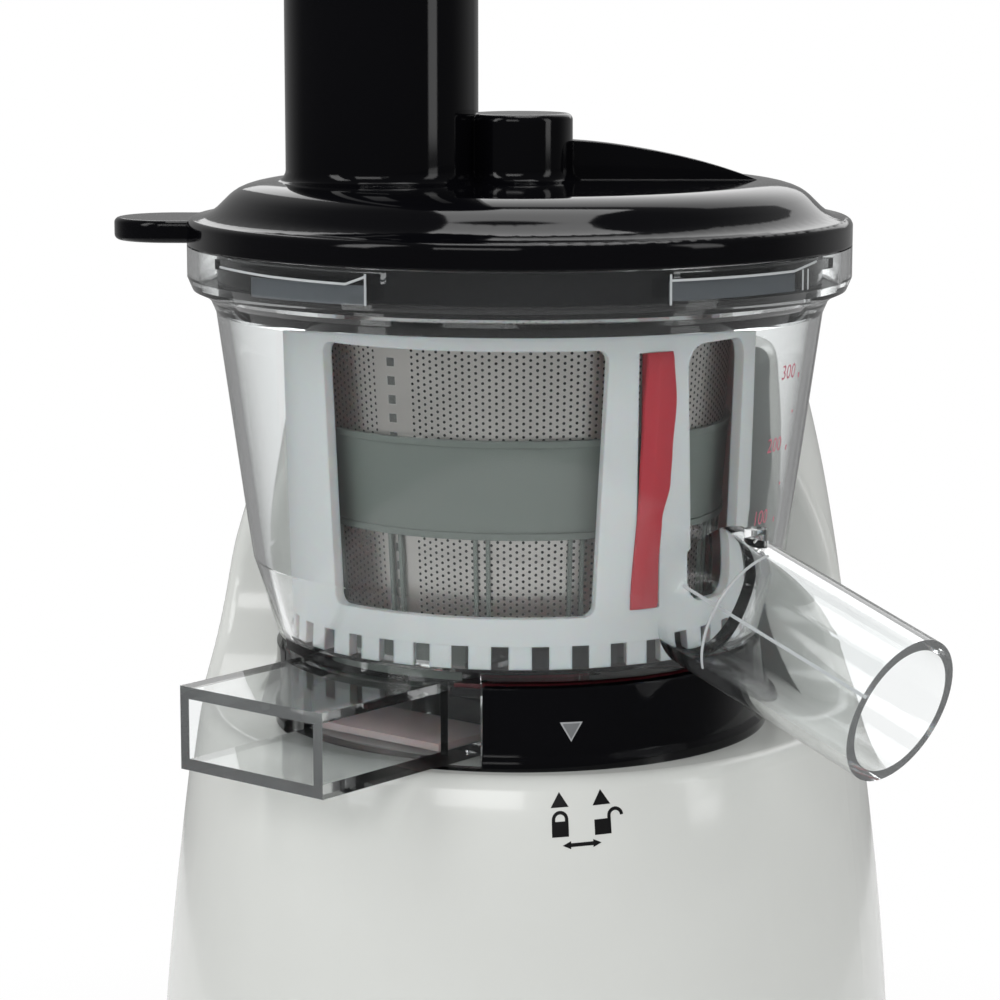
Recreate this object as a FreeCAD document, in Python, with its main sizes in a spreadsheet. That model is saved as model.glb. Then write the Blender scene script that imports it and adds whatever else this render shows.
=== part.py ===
import FreeCAD, Part
import math
import os

import Sketcher
from FreeCAD import Placement, Rotation, Vector

# Cold press juicer. Millimetres, +Z up, the origin on the counter under the bowl's axis.
# The user stands on the -Y side. An azimuth of 0 points at the user and grows towards +X.

SIZES = [
    # general fits and walls
    ("run_gap", 0.05, "radial gap of a turning fit"),
    ("slip_gap", 0.3, "gap between pieces that are put together by hand"),
    ("play", 0.5, "gap round pieces that turn past each other"),
    # motor base
    ("foot_height", 4.5, "rubber foot below the bottom cover"),
    ("foot_radius", 9, "rubber foot"),
    ("foot_stem", 2, "foot let into the bottom cover"),
    ("foot_stem_radius", 5, "foot let into the bottom cover"),
    ("foot_side", 52, "foot from the middle plane"),
    ("foot_front", 42, "front feet before the bowl axis"),
    ("foot_rear", 82, "rear feet behind the bowl axis"),
    ("base_height", 178, "counter to the deck that carries the bowl"),
    ("base_half_width", 91, "half width at the bottom"),
    ("base_half_depth", 103, "half depth at the bottom"),
    ("base_back_shift", 20, "middle of the bottom outline behind the bowl axis"),
    ("deck_half_width", 78, "half width at the deck"),
    ("deck_half_depth", 89.5, "half depth at the deck"),
    ("deck_back_shift", 27.5, "middle of the deck outline behind the bowl axis"),
    ("shell_wall", 3, "housing wall"),
    ("tower_height", 80, "tower above the deck"),
    ("tower_half_width", 62, "tower top"),
    ("tower_half_depth", 46, "tower top"),
    ("tower_back_shift", 58, "middle of the tower top behind the bowl axis"),
    ("tower_round", 5, "rounding of the tower top"),
    ("saddle_radius", 64, "hollow of the tower round the bowl, at the deck"),
    ("saddle_flare", 10, "hollow wider by this at the tower top"),
    ("tower_front", 34, "front edges of the tower behind the bowl axis"),
    ("tower_sweep", 28, "sweep from the deck up to the tower's front edges"),
    ("deck_round", 4, "rounding of the deck's outer edge and the tower's front edges"),
    ("cover_thick", 3, "bottom cover"),
    ("cover_screw_radius", 2, "screw of the bottom cover"),
    ("cover_screw_head", 3.6, "head of that screw"),
    ("cover_boss_radius", 5, "screw boss in the housing"),
    ("cover_boss_height", 22, "screw boss in the housing"),
    ("boss_share_side", 0.872, "boss from the middle plane, share of the way to the side wall"),
    ("boss_share_along", 0.517, "boss from the outline's middle, share of the way to front or rear wall"),
    ("cover_screw_length", 14, "screw of the bottom cover"),
    ("screw_head_tall", 2, "every screw's head"),
    ("post_radius", 3, "posts under the control board"),
    ("board_level", 16, "control board above the counter"),
    ("board_width", 60, "control board"),
    ("board_depth", 40, "control board"),
    ("board_thick", 1.6, "control board"),
    ("board_back_shift", 78, "middle of the board behind the bowl axis"),
    ("vent_width", 4, "air slot in the bottom cover"),
    ("vent_length", 44, "air slot in the bottom cover"),
    ("vent_count", 7, "air slots"),
    ("vent_pitch", 8, "air slot to air slot"),
    # switch and cord gland at the back
    ("switch_level", 118, "middle of the switch above the counter"),
    ("switch_width", 15, "rocker"),
    ("switch_tall", 25, "rocker"),
    ("switch_frame", 3, "rim of the bezel round the rocker"),
    ("switch_reach", 5, "bezel in front of the housing wall"),
    ("switch_depth", 14, "bezel box inside the wall"),
    ("switch_pin", 1.5, "rocker's hinge pin"),
    ("switch_pin_inset", 3, "rocker's hinge pin behind the bezel's face"),
    ("pocket_inset", 7.5, "bottom of the rocker's pocket behind its hinge pin"),
    ("rocker_half_depth", 4, "rocker before and behind its pin"),
    ("gland_level", 34, "cord gland above the counter"),
    ("gland_radius", 8, "gland flange"),
    ("gland_bore", 3.6, "gland bore"),
    ("gland_reach", 7, "gland outside the wall"),
    ("gland_neck", 5.5, "gland neck through the wall"),
    ("gland_inside", 8, "gland neck inside the wall"),
    # motor and gear train
    ("motor_radius", 38, "motor can"),
    ("motor_length", 84, "motor can"),
    ("motor_level", 14, "underside of the motor can above the counter"),
    ("motor_wall", 2, "motor can"),
    ("core_radius", 17, "rotor core"),
    ("core_length", 44, "rotor core"),
    ("rotor_shaft_radius", 3, "rotor shaft"),
    ("fan_radius", 30, "cooling fan"),
    ("fan_thick", 8, "cooling fan"),
    ("bearing_outer", 9.5, "motor bearing"),
    ("bearing_thick", 6, "motor bearing"),
    ("fan_hub", 6, "cooling fan"),
    ("fan_sheet", 1.5, "cooling fan's disc and blades"),
    ("fan_blades", 9, "cooling fan"),
    ("gear_backlash", 0.3, "play in every mesh, along the pitch circle"),
    ("fast_module", 1.0, "tooth size of the first stage"),
    ("slow_module", 1.25, "tooth size of the second stage"),
    ("pinion_teeth", 12, "both pinions"),
    ("wheel_teeth", 48, "both wheels"),
    ("fast_face", 8, "tooth width of the first stage"),
    ("slow_face", 12, "tooth width of the second stage"),
    ("case_wall", 3, "gearbox case"),
    ("case_gap", 3, "room round the wheels"),
    ("ear_radius", 8, "ears of the gearbox case"),
    ("pillar_radius", 5.5, "pillars under the deck"),
    ("case_screw_radius", 2, "gearbox screws"),
    ("case_screw_head", 3.6, "gearbox screws"),
    ("case_screw_grip", 14, "gearbox screws in the pillars"),
    ("lay_shaft_radius", 4, "lay shaft"),
    ("output_radius", 7, "output shaft"),
    ("output_bearing_outer", 15, "output bearing"),
    ("output_bearing_thick", 9, "output bearing"),
    ("hex_flats", 10, "hex end of the output shaft across the flats"),
    ("hex_play", 0.8, "hex socket wider than the hex, so that the bowl can twist"),
    ("hex_rise", 26, "hex end above the deck"),
    ("deck_bush_outer", 10, "bush in the deck"),
    ("deck_bush_tall", 8, "bush in the deck"),
    ("seal_radius", 12, "shaft seal"),
    ("seal_thick", 4, "shaft seal above the deck"),
    # bowl seat on the deck and bowl foot ring
    ("seat_radius", 20, "seat ring on the deck"),
    ("seat_bore", 13.5, "seat ring"),
    ("seat_thick", 10, "seat ring"),
    ("seat_screw_radius", 1.5, "seat screws"),
    ("seat_screw_head", 2.6, "seat screws"),
    ("lug_reach", 2.2, "bayonet lugs of seat and foot ring"),
    ("lug_thick", 3, "bayonet lugs"),
    ("lug_width", 8, "bayonet lugs, degrees"),
    ("lug_play", 0.4, "foot ring's socket round the seat's lugs"),
    ("seat_lift", 0.8, "foot ring's socket above the deck"),
    ("lug_count", 3, "bayonet lugs"),
    ("twist_half", 4.15, "bowl twist each way from the rest position, degrees"),
    ("collar_radius", 55.8, "foot ring"),
    ("collar_wall", 2.8, "foot ring"),
    ("collar_height", 18.4, "foot ring, counter side of the bowl's floor"),
    ("collar_lip", 1.2, "lip at the foot ring's lower edge"),
    ("collar_plate", 1.8, "foot ring's plate"),
    ("gasket_thick", 1, "foot gasket"),
    # bowl
    ("bowl_height", 90.7, "underside of the bowl's floor to the top of its flange"),
    ("bowl_wall", 2.5, "clear wall"),
    ("bowl_floor", 2.5, "floor"),
    ("bowl_low_radius", 55.7, "outside, at the floor"),
    ("bowl_mid_radius", 61, "outside, at the bend of the wall"),
    ("bowl_mid_level", 20, "bend of the wall above the floor's underside"),
    ("bowl_top_radius", 68.6, "outside, under the flange"),
    ("flange_radius", 75, "flange"),
    ("flange_height", 11, "flange"),
    ("flange_wall", 2.5, "flange"),
    ("shelf_reach", 2.6, "inward shelves that hold the lid's lugs"),
    ("shelf_thick", 2.2, "those shelves"),
    ("shelf_drop", 0.9, "those shelves below the flange's top"),
    ("shelf_span", 40, "length of a shelf, degrees"),
    ("shelf_count", 4, "shelves round the flange"),
    ("shelf_azimuth", -38, "middle of the first shelf"),
    ("hub_radius", 14, "tube round the shaft hole in the floor"),
    ("hub_bore", 12, "shaft hole in the floor"),
    ("skirt_half_angle", 31, "clear skirt at the pulp duct, degrees each way"),
    ("pulp_azimuth", -34.5, "pulp spout"),
    ("pulp_reach", 89, "end of the pulp spout from the bowl axis"),
    ("pulp_width", 41.5, "pulp spout outside"),
    ("pulp_tall", 18.3, "pulp spout outside"),
    ("pulp_wall", 2.6, "pulp spout"),
    ("duct_start", 26, "inner end of the pulp duct from the bowl axis"),
    ("gate_thick", 1.6, "soft pad on the pulp duct's floor"),
    ("gate_reach", 50, "end of that pad from the bowl axis"),
    ("juice_azimuth", 51, "juice spout"),
    ("juice_fall", 18.5, "slope of the juice spout, degrees"),
    ("juice_radius", 16.5, "juice spout outside"),
    ("juice_wall", 2.4, "juice spout"),
    ("juice_level", 21.2, "middle of the juice spout's root above the floor's underside"),
    ("juice_root", 46, "root of the juice spout from the bowl axis"),
    ("juice_length", 67.5, "juice spout"),
    ("peg_radius", 2.6, "peg on the juice spout"),
    ("peg_tall", 4, "peg on the juice spout"),
    ("peg_place", 26, "peg along the juice spout, from its root"),
    # brush cage and strainer
    ("ring_module", 2.7, "tooth size of the bowl's gears"),
    ("ring_teeth", 38, "teeth hanging from the brush cage"),
    ("sun_teeth", 18, "gear under the auger"),
    ("idler_teeth", 10, "idler in the bowl's floor"),
    ("idler_azimuth", 100, "idler in the bowl's floor"),
    ("idler_bore", 4, "idler pin"),
    ("idler_depth", 2, "idler pin in the floor"),
    ("finger_inner", 49.4, "teeth of the cage, inside"),
    ("gear_lift", 0.9, "bowl floor to gears"),
    ("gear_face", 5, "tooth height of the bowl's gears"),
    ("cage_low_radius", 52.3, "cage outside, at the teeth"),
    ("cage_top_radius", 53.8, "cage outside, at the top"),
    ("cage_wall", 2.2, "cage"),
    ("cage_ring", 6.1, "solid ring above the teeth"),
    ("cage_top_ring", 4.6, "solid ring at the top"),
    ("cage_height", 73.3, "cage from the underside of its teeth to its top"),
    ("window_span", 73, "wide cage window at its top, degrees"),
    ("window_narrow", 6, "every window narrower at its bottom by this, degrees"),
    ("window_round", 2.6, "corners of a wide window"),
    ("slot_span", 25, "narrow cage window at its top, degrees"),
    ("slot_round", 5, "corners of a narrow window"),
    ("wiper_azimuth", 36.5, "first wiper"),
    ("wiper_span", 21.5, "cage between two windows, at a wiper, degrees"),
    ("wiper_width", 6.5, "wiper, degrees"),
    ("wiper_stand", 1.4, "wiper outside the cage"),
    ("wiper_count", 2, "wipers"),
    ("mesh_top_radius", 48.6, "strainer outside, at the top"),
    ("mesh_low_radius", 43.6, "strainer outside, at the bottom"),
    ("mesh_thick", 0.6, "strainer sheet"),
    ("strainer_rim", 4, "grey ring at each end of the strainer"),
    ("band_low", 21.5, "grey band above the strainer's underside"),
    ("band_tall", 21.8, "grey band"),
    ("band_stand", 0.9, "grey band outside the mesh"),
    ("band_lip", 0.4, "raised edges of the band"),
    ("band_lip_tall", 1.5, "raised edges of the band"),
    ("strainer_floor", 2, "strainer's floor"),
    ("port_inner", 29.5, "pulp port in the strainer's floor"),
    ("port_outer", 42, "pulp port in the strainer's floor"),
    ("port_half_angle", 22, "pulp port, degrees each way"),
    ("port_wall", 1.2, "wall round the pulp port"),
    ("port_margin", 2, "bowl's opening wider than the port, degrees each way"),
    ("rib_width", 1.1, "rib of the strainer frame, degrees"),
    ("rib_gap", 2.3, "slit between the two ribs of a pair, degrees"),
    ("rib_count", 14, "pairs of ribs"),
    ("rib_azimuth", -5.15, "first pair of ribs"),
    # auger
    ("auger_core_low", 28, "auger core at the bottom"),
    ("auger_core_top", 15, "auger core at the top"),
    ("auger_gap", 0.8, "screw flight to strainer"),
    ("auger_height", 80, "auger from its underside to the top of its core"),
    ("flight_thick", 4, "screw flight"),
    ("flight_pitch", 50, "screw flight"),
    ("flight_turns", 1.2, "screw flight"),
    ("socket_depth", 16, "drive socket inside the auger"),
    ("socket_grip", 13, "hex end inside the drive socket"),
    ("journal_radius", 9.5, "auger's lower journal"),
    ("pivot_radius", 5, "auger's upper pin"),
    ("pivot_length", 24, "auger's upper pin"),
    # lid
    ("lid_rim_radius", 75, "lid"),
    ("lid_dome_radius", 54, "edge of the lid's flat top"),
    ("lid_rim_round", 1.6, "upper edge of the lid's rim"),
    ("root_round", 2.4, "hollow rounding at the foot of the feed tube and the boss"),
    ("lid_tall", 14, "lid's flat top above the flange"),
    ("lid_wall", 2.6, "lid"),
    ("lid_skirt_radius", 68.4, "skirt inside the flange"),
    ("lid_skirt_drop", 7.5, "skirt below the flange's top"),
    ("lid_skirt_wall", 2.4, "skirt"),
    ("lid_lug_width", 11, "lid's bayonet lugs, degrees"),
    ("lid_lug_reach", 3.2, "lid's bayonet lugs"),
    ("lid_lug_thick", 3, "lid's bayonet lugs"),
    ("tube_azimuth", -85, "feed tube"),
    ("tube_offset", 31, "feed tube from the bowl axis"),
    ("tube_radius", 21.75, "feed tube outside"),
    ("tube_wall", 2.6, "feed tube"),
    ("tube_rise", 108, "top of the feed tube above the flange"),
    ("lid_gasket_tall", 0.8, "lid gasket under the skirt"),
    ("lid_gasket_inset", 0.2, "lid gasket narrower than the skirt on each side"),
    ("boss_radius", 12, "pivot boss"),
    ("boss_rise", 29, "top of the pivot boss above the flange"),
    ("boss_round", 1.5, "upper edge of the pivot boss"),
    ("bushing_wall", 1.6, "lid bushing"),
    ("bushing_head", 1.7, "lid bushing above the auger's upper pin"),
    ("hump_radius", 55, "hump on the lid"),
    ("hump_rise", 9, "hump above the lid's flat top"),
    ("hump_azimuth", 95, "hump's front face, towards +X"),
    ("hump_span", 150, "hump, degrees"),
    ("tab_reach", 92, "tip of the tab from the bowl axis"),
    ("tab_width", 27, "tab"),
    ("tab_thick", 5, "tab"),
    ("tab_round", 1.2, "edges of the tab"),
    # pusher
    ("pusher_gap", 0.6, "pusher to feed tube"),
    ("pusher_drop", 92, "pusher inside the feed tube"),
    ("pusher_cap_radius", 24, "pusher cap"),
    ("pusher_cap_tall", 12, "pusher cap"),
    ("grip_ring", 1.4, "soft ring round the pusher's cap"),
    ("grip_inset", 3.5, "soft ring from the cap's edges"),
    ("grip_stand", 0.4, "soft ring outside the cap"),
]


doc = FreeCAD.newDocument("cold_press_juicer")
sheet = doc.addObject("Spreadsheet::Sheet", "Sizes")


class Size:
    """A length or an angle, together with the sheet formula that gives it."""

    def __init__(self, value, formula):
        self.value = value
        self.formula = formula

    def _with(self, other, sign, swapped=False):
        left, right = (as_size(other), self) if swapped else (self, as_size(other))
        values = {
            "+": lambda: left.value + right.value,
            "-": lambda: left.value - right.value,
            "*": lambda: left.value * right.value,
            "/": lambda: left.value / right.value,
        }
        return Size(values[sign](), f"({left.formula} {sign} {right.formula})")

    def __add__(self, other):
        return self._with(other, "+")

    def __radd__(self, other):
        return self._with(other, "+", True)

    def __sub__(self, other):
        return self._with(other, "-")

    def __rsub__(self, other):
        return self._with(other, "-", True)

    def __mul__(self, other):
        return self._with(other, "*")

    def __rmul__(self, other):
        return self._with(other, "*", True)

    def __truediv__(self, other):
        return self._with(other, "/")

    def __neg__(self):
        return 0 - self

    def __float__(self):
        return float(self.value)

    def __int__(self):
        return int(self.value)


def as_size(number):
    """Take a bare number into the same arithmetic as the sheet's sizes."""
    return number if isinstance(number, Size) else Size(float(number), repr(float(number)))


class Dims:
    """The driving sizes by name, each one a cell of the sheet."""

    def __init__(self, table):
        for row, (alias, value, meaning) in enumerate(table, start=1):
            sheet.set(f"A{row}", meaning)
            sheet.set(f"B{row}", str(value))
            sheet.setAlias(f"B{row}", alias)
            setattr(self, alias, Size(float(value), f"Sizes.{alias}"))


d = Dims(SIZES)
doc.recompute()

# ---------------------------------------------------------------- levels above the counter
deck = d.base_height
cover_top = d.foot_height + d.cover_thick
tower_top = deck + d.tower_height
floor_under = deck + d.collar_height
floor_top = floor_under + d.bowl_floor
flange_top = floor_under + d.bowl_height
gears_level = floor_top + d.gear_lift
gears_top = gears_level + d.gear_face
cage_top = gears_level + d.cage_height
strainer_under = gears_top + d.play
strainer_top = cage_top
auger_under = strainer_under + d.strainer_floor + d.play
auger_top = auger_under + d.auger_height
pivot_top = auger_top + d.pivot_length
ceiling = flange_top + d.lid_tall - d.lid_wall
tube_top = flange_top + d.tube_rise
boss_top = flange_top + d.boss_rise
case_under = d.motor_level + d.motor_length
case_floor = case_under + d.case_wall
fast_level = case_floor + d.case_gap
slow_level = fast_level + d.fast_face + d.case_gap
case_top = slow_level + d.slow_face + d.case_gap
case_cover_top = case_top + d.case_wall

# ---------------------------------------------------------------- building blocks


def bind(thing, prop, size):
    """Give a property its value, and its formula where it has one."""
    size = as_size(size)
    setattr(thing, prop, size.value)
    if "Sizes." in size.formula:
        thing.setExpression(prop, size.formula)


def place(thing, at=(0, 0, 0), rotation=None):
    """Put a piece at a point, its coordinates tied to the sheet."""
    sizes = [as_size(value) for value in at]
    thing.Placement = Placement(Vector(*[s.value for s in sizes]), rotation or Rotation())
    for axis, size in zip("xyz", sizes):
        if "Sizes." in size.formula:
            thing.setExpression(f"Placement.Base.{axis}", size.formula)
    return thing


def about_z(azimuth):
    """Turn about the vertical axis, in degrees."""
    return Rotation(Vector(0, 0, 1), float(azimuth))


def polar(radius, azimuth):
    """The point at a radius and azimuth round the bowl axis."""
    angle = math.radians(float(azimuth))
    return float(radius) * math.sin(angle), -float(radius) * math.cos(angle)


def between(low, high, share):
    """The value at a share of the way from low to high."""
    return low + (high - low) * share


def cylinder(name, radius, height, at=(0, 0, 0), rotation=None):
    piece = doc.addObject("Part::Cylinder", name)
    bind(piece, "Radius", radius)
    bind(piece, "Height", height)
    return place(piece, at, rotation)


def box(name, length, width, height, at=(0, 0, 0), rotation=None):
    """A box along X, Y and Z from its low corner."""
    piece = doc.addObject("Part::Box", name)
    bind(piece, "Length", length)
    bind(piece, "Width", width)
    bind(piece, "Height", height)
    return place(piece, at, rotation)


def cut(name, base, *tools):
    piece = doc.addObject("Part::Cut", name)
    piece.Base = base
    piece.Tool = tools[0] if len(tools) == 1 else fuse(name + "_tools", *tools)
    return piece


def cut_in_turn(name, base, *tools):
    """One cut after another, for pieces whose walls are nearly tangent to the tools."""
    for i, tool in enumerate(tools):
        base = cut(f"{name}_{i}", base, tool)
    return base


def fuse(name, *pieces):
    piece = doc.addObject("Part::MultiFuse", name)
    piece.Shapes = list(pieces)
    return piece


def ring(name, outer, inner, height, level, centre=(0, 0)):
    """A flat ring about a vertical axis."""
    at = (centre[0], centre[1], level)
    body = cylinder(name + "_body", outer, height, at)
    low = (centre[0], centre[1], as_size(level) - 1)
    return cut(name, body, cylinder(name + "_bore", inner, as_size(height) + 2, low))


def sector(name, radius, height, width, azimuth, level):
    """A slice of a round disc, its middle at an azimuth."""
    piece = cylinder(name, radius, height, (0, 0, level), about_z(float(azimuth) - 90 - float(width) / 2))
    bind(piece, "Angle", width)
    return piece


def ring_sector(name, outer, inner, height, width, azimuth, level):
    """A slice of a flat ring, its middle at an azimuth."""
    slice_ = sector(name + "_slice", outer, height, width, azimuth, level)
    return cut(name, slice_, cylinder(name + "_bore", inner, as_size(height) + 2, (0, 0, as_size(level) - 1)))


def sketch_on(body, role, name, points):
    """A closed outline on one of a body's own planes, each corner tied to the sheet."""
    plane = next(f for f in body.Origin.OriginFeatures if f.Role == role)
    sketch = body.newObject("Sketcher::SketchObject", name)
    sketch.AttachmentSupport = [(plane, "")]
    sketch.MapMode = "FlatFace"
    corners = [(as_size(x), as_size(y)) for x, y in points]
    count = len(corners)
    for i, (x, y) in enumerate(corners):
        nx, ny = corners[(i + 1) % count]
        start, end = Vector(x.value, y.value, 0), Vector(nx.value, ny.value, 0)
        sketch.addGeometry(Part.LineSegment(start, end), False)
    for i in range(count):
        sketch.addConstraint(Sketcher.Constraint("Coincident", i, 2, (i + 1) % count, 1))
    for i, corner in enumerate(corners):
        for kind, size in zip(("DistanceX", "DistanceY"), corner):
            index = sketch.addConstraint(Sketcher.Constraint(kind, -1, 1, i, 1, size.value))
            if "Sizes." in size.formula:
                sketch.setExpression(f"Constraints[{index}]", size.formula)
    return sketch


def turned(name, points, angle=360, rotation=None, at=(0, 0, 0)):
    """A body turned about the vertical axis from an outline of radius and level."""
    body = doc.addObject("PartDesign::Body", name)
    sketch = sketch_on(body, "XZ_Plane", name + "_outline", points)
    turn = body.newObject("PartDesign::Revolution", name + "_turn")
    turn.Profile = sketch
    turn.ReferenceAxis = (sketch, ["V_Axis"])
    bind(turn, "Angle", angle)
    return place(body, at, rotation)


def padded(name, role, points, depth, at=(0, 0, 0), rotation=None, both_ways=False):
    """A body of one outline, padded square to its plane."""
    body = doc.addObject("PartDesign::Body", name)
    sketch = sketch_on(body, role, name + "_outline", points)
    pad = body.newObject("PartDesign::Pad", name + "_pad")
    pad.Profile = sketch
    bind(pad, "Length", depth)
    pad.Midplane = both_ways
    return place(body, at, rotation)


def shaped(name, shape):
    """A piece whose form only the geometry kernel's own functions can give."""
    piece = doc.addObject("Part::Feature", name)
    piece.Shape = shape
    return piece


def spun(name, runs, angle=360, rotation=None, at=(0, 0, 0)):
    """A body turned from an outline of radius and level; each run is a line, an arc or a smooth curve.

    A run is a list of points, with the slopes at its two ends behind it where the curve needs them.
    """
    edges = []
    for run, *slopes in runs:
        points = [Vector(float(r), 0, float(z)) for r, z in run]
        if len(points) == 2:
            edges.append(Part.makeLine(*points))
        elif len(points) == 3:
            edges.append(Part.Arc(*points).toShape())
        else:
            curve = Part.BSplineCurve()
            first, last = [Vector(r, 0, z) for r, z in slopes]
            curve.interpolate(points, InitialTangent=first, FinalTangent=last)
            edges.append(curve.toShape())
    face = Part.Face(Part.Wire(edges))
    return place(shaped(name, face.revolve(Vector(), Vector(0, 0, 1), float(angle))), at, rotation)


def root_rounding(name, radius, level, at=(0, 0, 0)):
    """The hollow rounding where a round tube or boss stands on a flat."""
    size, inner = d.root_round, radius - 1
    middle = float(size) * (1 - math.sqrt(0.5))
    return spun(name, [
        ([(inner, level - 1), (inner, level + size)],),
        ([(inner, level + size), (radius, level + size)],),
        ([(radius, level + size), (radius + middle, level + middle), (radius + size, level)],),
        ([(radius + size, level), (radius + size, level - 1)],),
        ([(radius + size, level - 1), (inner, level - 1)],),
    ], at=at)


NODES = []


def node(name, piece):
    """Name a finished sub-part."""
    piece.Label = name
    NODES.append(piece)
    return piece

# ---------------------------------------------------------------- housing shell


def oval_wire(level, shift, half_width, half_depth, inset=0.0):
    """Four arcs of a closed curve through points of a slightly squared ellipse, starting beside the rear."""
    squareness, count = 2.1, 16
    points = []
    for i in range(count):
        angle = 2 * math.pi * (i + 1) / count
        side, along = math.sin(angle), math.cos(angle)
        x = math.copysign(abs(side) ** (2 / squareness), side) * (half_width - inset)
        y = math.copysign(abs(along) ** (2 / squareness), along) * (half_depth - inset)
        points.append(Vector(x, shift + y, level))
    curve = Part.BSplineCurve()
    curve.interpolate(points, PeriodicFlag=True)
    start = curve.FirstParameter
    quarter = (curve.LastParameter - start) / 4
    return Part.Wire([curve.toShape(start + quarter * i, start + quarter * (i + 1)) for i in range(4)])


# outlines between the named ones, each as shares of the way: level, middle, half width, half depth
WAIST = [(0.31988, 0.29333, 0.19231, 0.20741), (0.60807, 0.6, 0.38462, 0.48148), (0.80980, 0.8, 0.65385, 0.71852)]
NECK = [(0.4375, 0.60656, 0.34375, 0.54023)]


def sections_between(low, high, shares):
    """Outlines part of the way from one section to the next."""
    return [[between(*pair) for pair in zip(low, high, share)] for share in shares]


def housing_form(inset=0.0, high_trim=0.0):
    """The smooth outside of base and tower, or its inside when inset."""
    bottom = [d.foot_height, d.base_back_shift, d.base_half_width, d.base_half_depth]
    shoulder = [deck, d.deck_back_shift, d.deck_half_width, d.deck_half_depth]
    crown = [tower_top, d.tower_back_shift, d.tower_half_width, d.tower_half_depth]
    waist = sections_between(bottom, shoulder, WAIST)
    neck = sections_between(shoulder, crown, NECK)
    crown[0] = tower_top - high_trim
    sections = [bottom, *waist, shoulder, *neck, crown]
    wires = [oval_wire(*[float(value) for value in section], inset) for section in sections]
    return Part.makeLoft(wires, True, False)


def saddle_cone(extra=0.0):
    """The hollow round the bowl, wider towards the top."""
    height = float(d.tower_height) * 1.5
    low = float(d.saddle_radius) + extra
    high = low + float(d.saddle_flare) * 1.5
    return Part.makeCone(low, high, height, Vector(0, 0, float(deck) - extra))


def front_clearance():
    """Space over the deck before the tower, with a swept corner."""
    front, sweep, low = float(d.tower_front), float(d.tower_sweep), float(deck)
    reach, left = 300, -200
    middle = sweep * math.sqrt(0.5)
    bend = Part.Arc(
        Vector(left, front - sweep, low), Vector(left, front - sweep + middle, low + sweep - middle),
        Vector(left, front, low + sweep),
    )
    corners = [(front, low + sweep), (front, reach), (-reach, reach), (-reach, low), (front - sweep, low)]
    sides = Part.makePolygon([Vector(left, y, z) for y, z in corners])
    return Part.Face(Part.Wire([bend.toShape(), *sides.Edges])).extrude(Vector(-2 * left, 0, 0))


wall = float(d.shell_wall)
whole_form = housing_form()
crown_edges = [e for e in whole_form.Edges if e.BoundBox.ZMin > float(tower_top) - 0.1]
opened_form = whole_form.makeFillet(float(d.tower_round), crown_edges).cut(saddle_cone()).cut(front_clearance())


def is_deck_edge(edge):
    """Whether an edge is where the deck's flat meets the housing's outside."""
    level = edge.BoundBox.ZMin
    flat = abs(level - float(deck)) < 0.01 and abs(edge.BoundBox.ZMax - level) < 1
    return flat and edge.Curve.TypeId == "Part::GeomBSplineCurve"


outer_form = opened_form.makeFillet(float(d.deck_round), [e for e in opened_form.Edges if is_deck_edge(e)])
# the tower's front edges stay solid
wings = Part.makeBox(400, 400, 400, Vector(-200, float(d.tower_front) + wall - 400, float(deck) - wall))
inner_form = housing_form(wall, wall).cut(saddle_cone(wall)).cut(wings)
outer_body = shaped("housing_outer", outer_form)
inner_body = shaped("housing_inner", inner_form)


def half_depth_at(level):
    """Where the rear of the outside lies at a level."""
    section = whole_form.slice(Vector(0, 0, 1), float(level))
    return max(wire.BoundBox.YMax for wire in section)


# bosses that take the bottom cover's screws stand against the inside of the wall
boss_in = d.shell_wall + d.cover_boss_radius - 0.5
boss_side = (d.base_half_width - boss_in) * d.boss_share_side
boss_along = (d.base_half_depth - boss_in) * d.boss_share_along
boss_places = [(x * boss_side, d.base_back_shift + y * boss_along) for x in (-1, 1) for y in (-1, 1)]
bosses = []
for i, (x, y) in enumerate(boss_places):
    boss = cylinder(f"cover_boss_{i}", d.cover_boss_radius, d.cover_boss_height, (x, y, cover_top))
    bore = cylinder(f"cover_boss_bore_{i}", d.cover_screw_radius, d.cover_boss_height - 2, (x, y, cover_top - 1))
    bosses.append(cut(f"bored_boss_{i}", boss, bore))

# pillars from the deck down to the gearbox
stage_one = (d.pinion_teeth + d.wheel_teeth) * d.fast_module / 2
stage_two = (d.pinion_teeth + d.wheel_teeth) * d.slow_module / 2
lay_y = stage_two
motor_y = stage_two - stage_one
slow_tip = d.wheel_teeth * d.slow_module / 2 + d.slow_module
fast_tip = d.wheel_teeth * d.fast_module / 2 + d.fast_module
case_slow_radius = slow_tip + d.case_gap + d.case_wall
case_fast_radius = fast_tip + d.case_gap + d.case_wall
ear_radius = d.ear_radius
ear_out = case_slow_radius + ear_radius - 1.5
ear_places = [polar(ear_out, azimuth) for azimuth in (0, 100, 260)]
pillars = []
for i, (x, y) in enumerate(ear_places):
    pillar = cylinder(f"pillar_{i}", d.pillar_radius, deck - 1 - case_cover_top, (x, y, case_cover_top))
    bore = cylinder(f"pillar_bore_{i}", d.case_screw_radius, d.case_screw_grip + 1, (x, y, case_cover_top - 1))
    pillars.append(cut(f"bored_pillar_{i}", pillar, bore))

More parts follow.
